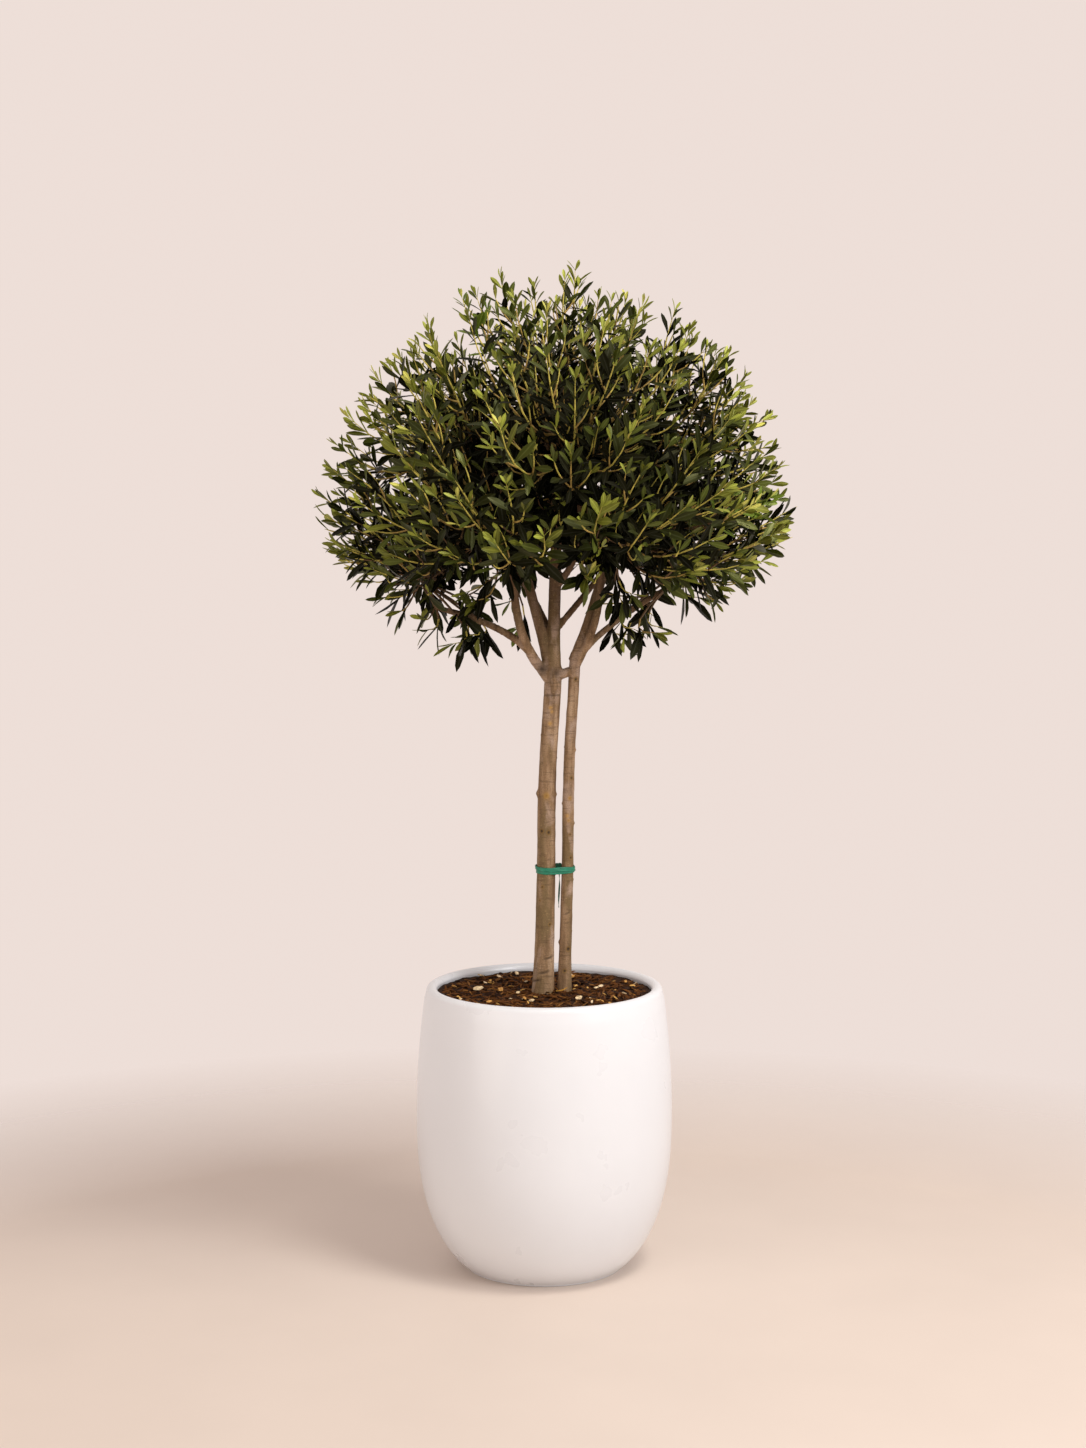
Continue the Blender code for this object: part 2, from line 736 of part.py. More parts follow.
def fuse_mass(mass, collection, material):
    """Joins a mass's stem, core, twigs and leaves into one solid, cut clear of every limb."""
    pieces = new_collection("pieces of " + mass.name)
    tip = mass.limb.points[-1]
    heading = mass.limb.heading()
    neck = [tip - heading * 0.001, tip + heading * (STEM_NECK + TWIG_RADIUS)]
    neck_radii = [mass.limb.radii[-1] * 0.94, TWIG_RADIUS]
    stem = add_object(mass.name, tube_mesh(mass.name, neck, neck_radii, 6), collection)
    core_object(mass.name + "_core", mass, pieces)
    for points, radii in mass.twigs:
        root = points[0] - (points[1] - points[0]).normalized() * radii[0] * 0.7
        mesh = tube_mesh("twig", [root] + points[1:], radii, 3)
        add_object("twig", mesh, pieces)
    for leaf in mass.leaves:
        leaf_object("leaf", leaf, pieces)
    union = stem.modifiers.new("Join", "BOOLEAN")
    union.operation = "UNION"
    union.operand_type = "COLLECTION"
    union.solver = "MANIFOLD"
    union.collection = pieces
    bake(stem)
    cutters = new_collection("limbs near " + mass.name)
    for limb in mass.limbs:
        points = list(limb.points)
        points[-1] = points[-1] + limb.heading() * GAP
        clear = [radius + LIMB_CLEAR for radius in limb.radii]
        add_object("clear", tube_mesh("clear", points, clear, limb.sides), cutters)
    for cutter in cutters.objects:
        boolean = stem.modifiers.new("Clear", "BOOLEAN")
        boolean.operation = "DIFFERENCE"
        boolean.solver = "MANIFOLD"
        boolean.object = cutter
    mesh = bake(stem)
    mesh.materials.clear()
    mesh.materials.append(material)
    for group in (pieces, cutters):
        for obj in list(group.objects):
            bpy.data.objects.remove(obj, do_unlink=True)
        bpy.data.collections.remove(group)
    largest_body(mesh)
    return stem


# ---- the tie ----------------------------------------------------------------------------


def belt(first, second, first_radius, second_radius, arc_steps=10):
    """The outline of a band stretched round two circles, counterclockwise."""
    across = second - first
    base = math.atan2(across.y, across.x)
    wrap = math.acos((first_radius - second_radius) / across.length)
    outline = []
    ends = ((first, first_radius, wrap, math.tau - wrap), (second, second_radius, -wrap, wrap))
    for centre, radius, start, stop in ends:
        for step in range(arc_steps + 1):
            turn = base + start + (stop - start) * step / arc_steps
            outline.append((centre.x + radius * math.cos(turn), centre.y + radius * math.sin(turn)))
    return outline


def stem_at(limb, height):
    """The middle and radius of a stem at a height."""
    for index in range(STEM_RINGS):
        low, high = limb.points[index], limb.points[index + 1]
        if low.z <= height <= high.z:
            share = (height - low.z) / (high.z - low.z)
            radius = limb.radii[index] + (limb.radii[index + 1] - limb.radii[index]) * share
            return low.lerp(high, share), radius
    return None


def make_tie(limbs, collection, material):
    """A flat band round both stems, and behind it a knot with a loose end that hangs down."""
    main, main_radius = stem_at(limbs["stem_main"], TIE_HEIGHT)
    second, second_radius = stem_at(limbs["stem_second"], TIE_HEIGHT)
    middle = (main + second) / 2
    curve = bpy.data.curves.new("tie", "CURVE")
    curve.dimensions = "2D"
    curve.fill_mode = "BOTH"
    curve.extrude = TIE_WIDTH / 2
    for inset in (TIE_GAP + TIE_THICK, TIE_GAP):
        outline = belt(main - middle, second - middle, main_radius + inset, second_radius + inset)
        spline = curve.splines.new("POLY")
        spline.points.add(len(outline) - 1)
        for corner, (x, y) in zip(spline.points, outline):
            corner.co = (x, y, 0.0, 1.0)
        spline.use_cyclic_u = True
    curve.materials.append(material)
    band = bpy.data.objects.new("tie", curve)
    collection.objects.link(band)
    band.location = middle
    band.rotation_euler = (math.radians(TIE_TILT), 0.0, 0.0)

    back = max(main_radius, second_radius) + TIE_GAP + TIE_THICK + GAP
    gap_middle = (main.x + main_radius + second.x - second_radius) / 2
    knot_radius = 0.006
    knot = Vector((gap_middle, middle.y + back + knot_radius * 0.9, TIE_HEIGHT + 0.003))
    bm = bmesh.new()
    bmesh.ops.create_uvsphere(bm, u_segments=10, v_segments=6, radius=knot_radius)
    squash = Matrix.Diagonal((1.3, 0.75, 1.0, 1.0))
    obj = add_object("tie_knot", mesh_of("tie_knot", bm, Matrix.Translation(knot) @ squash),
                     collection, material)
    tail = [knot + Vector((0.0, 0.001 * step, -TIE_TAIL * step / 5)) for step in range(6)]
    tail_mesh = tube_mesh("tail", tail, [0.0013] * 6, 5)
    pieces = new_collection("knot pieces")
    tail_obj = add_object("tail", tail_mesh, pieces)
    join = obj.modifiers.new("Join", "BOOLEAN")
    join.operation = "UNION"
    join.object = tail_obj
    join.solver = "EXACT"
    bake(obj)
    bpy.data.objects.remove(tail_obj)
    bpy.data.collections.remove(pieces)


# ---- the whole --------------------------------------------------------------------------


def main():
    clear_scene()
    tree = new_collection("Standard tree in a pot")
    white = new_material("white glaze", (0.86, 0.85, 0.84), 0.28)
    brown = new_material("bark mix", (0.10, 0.052, 0.026), 0.95)
    bark = new_material("bark", (0.36, 0.25, 0.165), 0.8)
    green = new_material("leaf", (0.050, 0.085, 0.026), 0.6)
    tape = new_material("green tape", (0.0, 0.23, 0.13), 0.5)

    make_pot(tree, white)
    make_mix(tree, brown)
    limbs = make_limbs(tree, bark)
    make_tie(limbs, tree, tape)
    for mass in grow_masses(limbs):
        fuse_mass(mass, tree, green)


main()
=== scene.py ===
import math
import random

import bmesh
import bpy
import numpy as np
from mathutils import Euler, Matrix, Quaternion, Vector, noise
from mathutils.kdtree import KDTree


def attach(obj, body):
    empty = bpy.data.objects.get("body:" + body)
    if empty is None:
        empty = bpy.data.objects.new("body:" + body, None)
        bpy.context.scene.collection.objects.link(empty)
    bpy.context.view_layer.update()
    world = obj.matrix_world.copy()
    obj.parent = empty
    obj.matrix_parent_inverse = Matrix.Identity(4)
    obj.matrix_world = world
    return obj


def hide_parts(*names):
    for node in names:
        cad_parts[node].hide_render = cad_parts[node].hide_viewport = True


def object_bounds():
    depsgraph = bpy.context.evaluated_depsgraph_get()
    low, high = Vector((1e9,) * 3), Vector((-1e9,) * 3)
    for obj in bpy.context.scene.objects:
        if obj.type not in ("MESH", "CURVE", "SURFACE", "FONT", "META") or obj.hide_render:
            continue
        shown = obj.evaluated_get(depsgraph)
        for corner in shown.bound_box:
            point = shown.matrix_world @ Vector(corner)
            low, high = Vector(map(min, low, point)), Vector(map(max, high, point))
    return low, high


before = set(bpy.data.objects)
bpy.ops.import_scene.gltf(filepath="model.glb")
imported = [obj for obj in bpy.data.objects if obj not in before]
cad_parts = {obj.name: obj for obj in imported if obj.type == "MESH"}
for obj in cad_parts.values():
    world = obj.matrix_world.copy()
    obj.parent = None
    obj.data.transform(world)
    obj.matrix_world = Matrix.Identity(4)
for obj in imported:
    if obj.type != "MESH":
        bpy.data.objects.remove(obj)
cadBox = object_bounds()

# A standard tree with two stems and a round clipped head, in a white pot.
# Metres, +Z up; the origin is the middle of the pot's underside and -Y is the front.

up = Vector((0, 0, 1))
goldenAngle = math.radians(137.5)
foliageNodes = sorted(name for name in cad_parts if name.startswith("foliage"))
limbNodes = sorted(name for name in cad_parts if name.startswith(("stem", "bough", "leader")))


def sceneObject(name, data):
    obj = bpy.data.objects.new(name, data)
    bpy.context.scene.collection.objects.link(obj)
    return obj


def addPiece(name, mesh, material, slot, *nodes):
    mesh.name = name
    mesh.materials.clear()
    mesh.materials.append(material)
    piece = sceneObject(name, mesh)
    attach(piece, "root")
    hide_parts(*nodes)


def evaluatedMesh(obj):  # the object's mesh with its modifiers applied
    bpy.context.view_layer.update()
    graph = bpy.context.evaluated_depsgraph_get()
    return bpy.data.meshes.new_from_object(obj.evaluated_get(graph))


def discard(*objects):
    for obj in objects:
        bpy.data.objects.remove(obj, do_unlink=True)


def triangleCount(mesh):
    return len(mesh.loops) - 2 * len(mesh.polygons)


def meshFrom(points, faces, smooth=True):
    mesh = bpy.data.meshes.new("mesh")
    mesh.from_pydata([tuple(point) for point in points], [], faces)
    mesh.validate()
    if smooth:
        mesh.shade_smooth()
    return mesh


def joined(meshes):
    bm = bmesh.new()
    for mesh in meshes:
        bm.from_mesh(mesh)
    mesh = bpy.data.meshes.new("joined")
    bm.to_mesh(mesh)
    bm.free()
    mesh.shade_smooth()
    return mesh


def turnedMesh(profile, steps):  # profile is (radius, height) pairs that run down the outer side
    points = []
    rings = []
    for radius, height in profile:
        count = steps if radius else 1
        rings.append([len(points) + step % count for step in range(steps)])
        for step in range(count):
            turn = math.tau * step / steps
            points.append((radius * math.cos(turn), radius * math.sin(turn), height))
    faces = []
    for upper, lower in zip(rings, rings[1:]):
        for step in range(steps):
            after = (step + 1) % steps
            faces.append(list(dict.fromkeys([upper[step], lower[step], lower[after], upper[after]])))
    return meshFrom(points, faces)


def smoothPath(points, radii, spacing):  # a smooth curve through the points, with radii
    path = []
    widths = []
    last = len(points) - 1
    for index in range(last):
        before = points[max(index - 1, 0)]
        first, second = points[index], points[index + 1]
        after = points[min(index + 2, last)]
        steps = max(2, int((second - first).length / spacing))
        for step in range(steps + (index == last - 1)):
            t = step / steps
            curve = (first * 2 + (second - before) * t
                     + (before * 2 - first * 5 + second * 4 - after) * t * t
                     + (first * 3 - before - second * 3 + after) * t ** 3) / 2
            path.append(curve)
            widths.append(radii[index] + (radii[index + 1] - radii[index]) * t)
    return path, widths


def curveObject(name, strands):  # strands are (points, radii)
    curve = bpy.data.curves.new(name, "CURVE")
    curve.dimensions = "3D"
    for points, radii in strands:
        spline = curve.splines.new("POLY")
        spline.points.add(len(points) - 1)
        flat = [value for point in points for value in (*point, 1)]
        spline.points.foreach_set("co", flat)
        spline.points.foreach_set("radius", radii)
    return sceneObject(name, curve)


def jolt(rng, size=1.0):  # a random step in any direction
    return Vector([rng.uniform(-1, 1) * size for _ in range(3)])


def wobble(rng, size):
    return rng.uniform(-size, size)


def fade(distance, width):  # 1 at no distance, and near 0 at twice the width
    return math.exp(-(distance / width) ** 2)


# wires up a new node of a material or a geometry tree, and gives one of its outputs
def addNode(tree, kind, output, links=None, **settings):
    node = tree.nodes.new(kind)
    for setting, value in settings.items():
        setattr(node, setting, value)
    for socket, source in (links or {}).items():
        if isinstance(source, bpy.types.NodeSocket):
            tree.links.new(source, node.inputs[socket])
        else:
            node.inputs[socket].default_value = source
    return node.outputs[output]


def newTree(name, inputs):  # inputs are the kind and the usual value of each named input
    tree = bpy.data.node_groups.new(name, "GeometryNodeTree")
    for way in ("INPUT", "OUTPUT"):
        tree.interface.new_socket("Geometry", in_out=way, socket_type="NodeSocketGeometry")
    for label, (kind, value) in inputs.items():
        socket = tree.interface.new_socket(label, in_out="INPUT", socket_type="NodeSocket" + kind)
        if value is not None:
            socket.default_value = value
    return tree, tree.nodes.new("NodeGroupInput").outputs


def finishTree(tree, geometry, given):
    real = addNode(tree, "GeometryNodeRealizeInstances", "Geometry", {"Geometry": geometry})
    coated = addNode(tree, "GeometryNodeSetMaterial", "Geometry",
                     {"Geometry": real, "Material": given["Material"]})
    tree.links.new(coated, tree.nodes.new("NodeGroupOutput").inputs["Geometry"])
    return tree


def runTree(obj, tree, values):  # the plain mesh that the tree makes of the object
    modifier = obj.modifiers.new(tree.name, "NODES")
    modifier.node_group = tree
    identifiers = {item.name: item.identifier for item in tree.interface.items_tree
                   if item.item_type == "SOCKET" and item.in_out == "INPUT"}
    for label, value in values.items():
        modifier[identifiers[label]] = value
    mesh = evaluatedMesh(obj)
    obj.modifiers.remove(modifier)
    return mesh


def namedAttribute(tree, name, kind="FLOAT_VECTOR"):
    return addNode(tree, "GeometryNodeInputNamedAttribute", "Attribute", {"Name": name}, data_type=kind)


def randomValue(tree, kind, low, high, seed):
    lowSocket, highSocket, output = {"FLOAT_VECTOR": (0, 1, 0), "FLOAT": (2, 3, 1), "INT": (4, 5, 2)}[kind]
    return addNode(tree, "FunctionNodeRandomValue", output,
                   {lowSocket: low, highSocket: high, "Seed": seed}, data_type=kind)


def product(tree, first, second):
    return addNode(tree, "ShaderNodeMath", 0, {0: first, 1: second}, operation="MULTIPLY")


def combined(tree, **parts):
    return addNode(tree, "ShaderNodeCombineXYZ", "Vector", parts)


def scattered(tree, given, labels, points, rotation, scale):  # one of the labelled objects on each point
    kinds = tree.nodes.new("GeometryNodeGeometryToInstance")
    for label in labels:
        shape = addNode(tree, "GeometryNodeObjectInfo", "Geometry", {"Object": given[label]})
        tree.links.new(shape, kinds.inputs["Geometry"])
    return addNode(tree, "GeometryNodeInstanceOnPoints", "Instances", {
        "Points": points, "Instance": kinds.outputs["Instances"], "Pick Instance": True,
        "Instance Index": randomValue(tree, "INT", 0, len(labels) - 1, given["Seed"]),
        "Rotation": rotation, "Scale": scale,
    })


def makeTubeTree():  # tubes along curves, as thick as the curve's radius says
    tree, given = newTree("tubes along curves", {"Sides": ("Int", 6), "Material": ("Material", None)})
    profile = addNode(tree, "GeometryNodeCurvePrimitiveCircle", "Curve",
                      {"Resolution": given["Sides"], "Radius": 1.0})
    radius = addNode(tree, "GeometryNodeInputRadius", "Radius")
    tubes = addNode(tree, "GeometryNodeCurveToMesh", "Mesh", {
        "Curve": given["Geometry"], "Profile Curve": profile, "Scale": radius, "Fill Caps": True,
    })
    return finishTree(tree, addNode(tree, "GeometryNodeSetShadeSmooth", 0, {"Geometry": tubes}), given)


# one of three blades on each point, turned by the point's axis and face, sized by its size
def makeLeafTree():
    tree, given = newTree("leaves on points", {
        "Flat Blade": ("Object", None), "Arched Blade": ("Object", None), "Twisted Blade": ("Object", None),
        "Length": ("Float", 0.05), "Narrowest": ("Float", 0.85), "Broadest": ("Float", 1.15),
        "Twist": ("Float", 0.4), "Seed": ("Int", 1), "Material": ("Material", None),
    })
    seed = given["Seed"]
    axes = {"Primary Axis": namedAttribute(tree, "axis"), "Secondary Axis": namedAttribute(tree, "face")}
    aim = addNode(tree, "FunctionNodeAxesToRotation", "Rotation", axes, primary_axis="Z", secondary_axis="X")
    roll = randomValue(tree, "FLOAT", product(tree, given["Twist"], -1.0), given["Twist"], seed)
    turned = addNode(tree, "FunctionNodeRotateRotation", "Rotation",
                     {"Rotation": aim, "Rotate By": combined(tree, Z=roll)}, rotation_space="LOCAL")
    length = product(tree, namedAttribute(tree, "size", "FLOAT"), given["Length"])
    width = product(tree, length, randomValue(tree, "FLOAT", given["Narrowest"], given["Broadest"], seed))
    placed = scattered(tree, given, ("Twisted Blade", "Arched Blade", "Flat Blade"), given["Geometry"],
                       turned, combined(tree, X=width, Y=width, Z=length))
    return finishTree(tree, placed, given)


# chips scattered over a surface, lying nearly flat and turned every way
def makeScatterTree():
    tree, given = newTree("chips on a surface", {
        "Chip": ("Object", None), "Spare Chip": ("Object", None), "Per Square Metre": ("Float", 1000.0),
        "Smallest": ("Float", 0.01), "Largest": ("Float", 0.02), "Tilt": ("Float", 0.4),
        "Lift": ("Float", 0.0), "Seed": ("Int", 1), "Material": ("Material", None),
    })
    seed = given["Seed"]
    points = addNode(tree, "GeometryNodeDistributePointsOnFaces", "Points",
                     {"Mesh": given["Geometry"], "Density": given["Per Square Metre"], "Seed": seed})
    lifted = addNode(tree, "GeometryNodeSetPosition", "Geometry",
                     {"Geometry": points, "Offset": combined(tree, Z=given["Lift"])})
    most = combined(tree, X=given["Tilt"], Y=given["Tilt"], Z=math.pi)
    least = addNode(tree, "ShaderNodeVectorMath", "Vector", {0: most, 3: -1.0}, operation="SCALE")
    placed = scattered(tree, given, ("Spare Chip", "Chip"), lifted,
                       randomValue(tree, "FLOAT_VECTOR", least, most, seed),
                       randomValue(tree, "FLOAT", given["Smallest"], given["Largest"], seed))
    return finishTree(tree, placed, given)


def newMaterial(name, roughness, gloss=0.5, colour=(0.5, 0.5, 0.5)):
    material = bpy.data.materials.new(name)
    material.use_nodes = True
    shader = material.node_tree.nodes["Principled BSDF"]
    shader.inputs["Base Color"].default_value = (*colour, 1)
    shader.inputs["Roughness"].default_value = roughness
    shader.inputs["Specular IOR Level"].default_value = gloss
    return material, material.node_tree, shader


def objectPlace(tree):
    return addNode(tree, "ShaderNodeTexCoord", "Object")


def noiseValue(tree, scale, stretch=(1, 1, 1), detail=4, distortion=0):
    mapped = addNode(tree, "ShaderNodeMapping", "Vector", {"Vector": objectPlace(tree), "Scale": stretch})
    return addNode(tree, "ShaderNodeTexNoise", 0,
                   {"Vector": mapped, "Scale": scale, "Detail": detail, "Distortion": distortion})


def ramp(tree, value, stops):  # stops are (place, colour)
    colour = addNode(tree, "ShaderNodeValToRGB", "Color", {"Fac": value})
    elements = colour.node.color_ramp.elements
    while len(elements) < len(stops):
        elements.new(0.5)
    for element, (place, shade) in zip(elements, stops):
        element.position = place
        element.color = (*shade, 1)
    return colour


def shaded(colour, share):  # a darker or lighter shade
    return tuple(value * share for value in colour)


# a colour in uneven patches, from a darker share of it to a lighter one
def mottled(tree, colour, scale, darkest, lightest, stops=(0.35, 0.65), **noiseSettings):
    shades = [shaded(colour, darkest), shaded(colour, lightest)]
    return ramp(tree, noiseValue(tree, scale, **noiseSettings), list(zip(stops, shades)))


def mixColour(tree, share, base, colour):
    return addNode(tree, "ShaderNodeMix", 2, {0: share, 6: base, 7: (*colour, 1)}, data_type="RGBA")


def mapRange(tree, value, low, high, toLow=0.0, toHigh=1.0):
    return addNode(tree, "ShaderNodeMapRange", "Result",
                   {"Value": value, "From Min": low, "From Max": high, "To Min": toLow, "To Max": toHigh})


# gives a shader its colour and its bumps, which are (value, strength, distance)
def paint(tree, shader, colour, *bumps):
    tree.links.new(colour, shader.inputs["Base Color"])
    links = {}
    for value, strength, distance in bumps:
        links.update({"Height": value, "Strength": strength, "Distance": distance})
        links["Normal"] = addNode(tree, "ShaderNodeBump", "Normal", links)
    if bumps:
        tree.links.new(links["Normal"], shader.inputs["Normal"])


cameraSettings = {
    "place": (-0.0023, -4.4125, 1.373), "lens": 62.15, "sensor": 36, "shiftY": -0.1657, "farthest": 50,
}
lights = {  # where each light stands, where it points, how wide it is, its power and its colour
    "side": ((2.9, -2.6, 2.4), (0, 0, 0.8), 2.0, 75, (0.95, 0.98, 1.0)),
    "fill": ((-2.6, -2.3, 0.8), (0, 0, 0.25), 2.4, 16, (1.0, 0.93, 0.84)),
    "top": ((1.0, -1.0, 3.1), (0, 0, 1.3), 0.9, 40, (1.0, 0.96, 0.88)),
}
backdrop = {  # the backdrop is a little dimmer overhead
    "colour": (0.850, 0.735, 0.685), "strength": 1.0, "strengthAbove": 0.78, "dimsFrom": 0.35, "dimsTo": 0.75,
}
floorSettings = {
    "colour": (0.71, 0.615, 0.545), "roughness": 0.6, "patches": 3.0, "darkest": 0.96,
    "middle": -0.5, "radius": 2.4, "steps": 96,
    "fadeStart": 1.22, "fadeEnd": 2.2,  # where the floor runs out into the backdrop
}


def makeCamera():
    data = bpy.data.cameras.new("camera")
    data.lens = cameraSettings["lens"]
    data.sensor_width = cameraSettings["sensor"]
    data.shift_y = cameraSettings["shiftY"]
    data.clip_end = cameraSettings["farthest"]
    camera = sceneObject("camera", data)
    camera.location = cameraSettings["place"]
    camera.rotation_euler = (math.pi / 2, 0, 0)
    bpy.context.scene.camera = camera


def makeLights():
    for name, (place, aim, size, power, colour) in lights.items():
        data = bpy.data.lights.new(name + " light", "AREA")
        data.shape = "DISK"
        data.size = size
        data.energy = power
        data.color = colour
        light = sceneObject(name + " light", data)
        light.location = place
        light.visible_camera = False
        light.rotation_euler = (Vector(aim) - light.location).to_track_quat("-Z", "Y").to_euler()


def makeBackdrop():
    world = bpy.data.worlds.new("studio")
    world.use_nodes = True
    tree = world.node_tree
    background = tree.nodes["Background"]
    background.inputs["Color"].default_value = (*backdrop["colour"], 1)
    way = addNode(tree, "ShaderNodeTexCoord", "Generated")
    height = addNode(tree, "ShaderNodeSeparateXYZ", "Z", {"Vector": way})
    strength = mapRange(tree, height, backdrop["dimsFrom"], backdrop["dimsTo"], backdrop["strength"],
                        backdrop["strengthAbove"])
    tree.links.new(strength, background.inputs["Strength"])
    bpy.context.scene.world = world
    bpy.context.scene.view_settings.view_transform = "Standard"


def makeFloor():
    steps = floorSettings["steps"]
    middle = Vector((0, floorSettings["middle"], 0))
    edge = [middle + Vector((math.cos(turn), math.sin(turn), 0)) * floorSettings["radius"]
            for turn in (math.tau * step / steps for step in range(steps))]
    mesh = meshFrom(edge, [tuple(range(steps))])
    floor = sceneObject("floor", mesh)
    material, tree, shader = newMaterial("pale floor", floorSettings["roughness"])
    tint = mottled(tree, floorSettings["colour"], floorSettings["patches"], floorSettings["darkest"], 1.0,
                   (0.3, 0.7))
    paint(tree, shader, tint)
    away = addNode(tree, "ShaderNodeVectorMath", "Value", {0: objectPlace(tree), 1: tuple(middle)},
                   operation="DISTANCE")
    shown = mapRange(tree, away, floorSettings["fadeStart"], floorSettings["fadeEnd"], 1.0, 0.0)
    tree.links.new(shown, shader.inputs["Alpha"])
    mesh.materials.append(material)


makeCamera()
makeLights()
makeBackdrop()
makeFloor()
print("camera, light and floor")

pot = {
    "radius": 0.2248, "bellyHeight": 0.272, "footRadius": 0.132, "rimRadius": 0.2085,
    "height": 0.490, "wall": 0.020, "bellyRound": 2.6, "bellyFull": 1.4, "footRound": 0.003,
    "innerFloor": 0.440, "innerFoot": 0.446,
    "steps": 144, "sideSteps": 56, "sideCrowd": 1.35, "innerSteps": 6, "lipSteps": 12, "footSteps": 4,
}
glaze = {
    "shades": [(0.3, (0.715, 0.735, 0.770)), (0.7, (0.745, 0.765, 0.800))], "roughness": (0.26, 0.36),
    "coat": 0.35, "coatRoughness": 0.12,
}
ground = 0.477  # the top of the potting mix


def potRadius(height):
    if height < pot["bellyHeight"]:
        down = 1 - height / pot["bellyHeight"]
        share = (1 - down ** pot["bellyRound"]) ** (1 / pot["bellyFull"])
        return pot["footRadius"] + (pot["radius"] - pot["footRadius"]) * share
    rise = (height - pot["bellyHeight"]) / (pot["height"] - pot["bellyHeight"])
    return pot["radius"] - (pot["radius"] - pot["rimRadius"]) * rise ** 2


def glazeMaterial():
    material, tree, shader = newMaterial("white glaze", 0.3)
    gloss = mapRange(tree, noiseValue(tree, 9.0), 0.3, 0.7, *glaze["roughness"])
    tree.links.new(gloss, shader.inputs["Roughness"])
    shader.inputs["Coat Weight"].default_value = glaze["coat"]
    shader.inputs["Coat Roughness"].default_value = glaze["coatRoughness"]
    paint(tree, shader, ramp(tree, noiseValue(tree, 4.0, detail=3), glaze["shades"]),
          (noiseValue(tree, 7.0, detail=2), 0.12, 0.004), (noiseValue(tree, 900.0, detail=2), 0.03, 0.0004))
    return material


def makePot():
    lip = pot["wall"] / 2
    lipMiddle = pot["rimRadius"] - lip
    lipHeight = pot["height"] - lip
    profile = [(0, pot["innerFloor"]), (potRadius(pot["innerFloor"]) - pot["wall"], pot["innerFloor"])]
    for step in range(pot["innerSteps"]):
        height = pot["innerFoot"] + (lipHeight - pot["innerFoot"]) * step / pot["innerSteps"]
        profile.append((potRadius(height) - pot["wall"], height))
    for step in range(pot["lipSteps"] + 1):
        turn = math.pi * (1 - step / pot["lipSteps"])
        profile.append((lipMiddle + lip * math.cos(turn), lipHeight + lip * math.sin(turn)))
    footRound = pot["footRound"]
    for step in range(1, pot["sideSteps"] + 1):
        height = footRound + (lipHeight - footRound) * (1 - step / pot["sideSteps"]) ** pot["sideCrowd"]
        profile.append((potRadius(height), height))
    foot = potRadius(footRound)
    for step in range(1, pot["footSteps"] + 1):
        turn = math.pi / 2 * step / pot["footSteps"]
        profile.append((foot - footRound * (1 - math.cos(turn)), footRound * (1 - math.sin(turn))))
    profile.append((0, 0))
    addPiece("pot_glazed", turnedMesh(profile, pot["steps"]), glazeMaterial(), "glaze", "pot")


makePot()
print("pot")

# the limbs, by the same rule and sizes as the solids
stems = {
    "stem_main": {"foot": Vector((-0.0025, -0.001, ground)), "top": Vector((0.0120, -0.001, 1.030)),
                  "radius": 0.0175},
    "stem_second": {"foot": Vector((0.0345, 0.003, ground)), "top": Vector((0.0515, 0.003, 1.072)),
                    "radius": 0.0112},
}
stemShape = {
    "taper": 0.84, "flare": 0.16, "flareFall": 22, "sway": 0.0035, "swayAcross": 1.2, "swayDeep": 0.8,
    "rings": 9, "headRise": 0.030, "headSwell": 1.12,
    "head": [(0.45, 1.0), (0.8, 0.86), (1.0, 0.55)],  # the swollen top that carries the boughs: rise, width
}
# limb it leaves, share along it, azimuth at the foot, swing, lean at foot and tip, length, radii
boughs = {
    "leader": ("stem_main", 0.965, 60, 0, 2, 4, 0.470, 0.0118, 0.0075),
    "bough_mid_left": ("stem_main", 0.945, 172, 0, 13, 18, 0.385, 0.0105, 0.0062),
    "bough_left": ("stem_main", 0.940, 190, 72, 46, 20, 0.245, 0.0098, 0.0060),
    "bough_spur": ("stem_main", 0.950, 356, 0, 62, 72, 0.034, 0.0085, 0.0080),
    "bough_right_up": ("stem_second", 0.980, 4, 0, 20, 14, 0.335, 0.0098, 0.0062),
    "bough_left_low": ("bough_left", 0.29, 184, 0, 46, 74, 0.165, 0.0072, 0.0052),
    "bough_right": ("stem_second", 0.970, 345, -70, 34, 26, 0.190, 0.0080, 0.0056),
    "bough_right_low": ("bough_right", 0.17, 352, 0, 44, 58, 0.170, 0.0060, 0.0048),
    "bough_back_right": ("leader", 0.155, 25, 28, 44, 52, 0.200, 0.0060, 0.0048),
    "bough_back_left": ("leader", 0.110, 118, 12, 36, 50, 0.215, 0.0062, 0.0046),
    "bough_front": ("leader", 0.320, 345, -90, 44, 24, 0.220, 0.0060, 0.0046),
    "bough_back_high": ("leader", 0.460, 100, 0, 40, 28, 0.190, 0.0056, 0.0044),
}
boughShape = {"points": 6, "bend": 1.7, "footSwell": 1.25}


def direction(azimuth, elevation):
    turn, rise = math.radians(azimuth), math.radians(elevation)
    level = math.cos(rise)
    return Vector((level * math.cos(turn), level * math.sin(turn), math.sin(rise)))


def pointAlong(points, share):
    left = share * sum((b - a).length for a, b in zip(points, points[1:]))
    for first, second in zip(points, points[1:]):
        step = (second - first).length
        if left <= step:
            return first.lerp(second, left / step)
        left -= step
    return points[-1].copy()


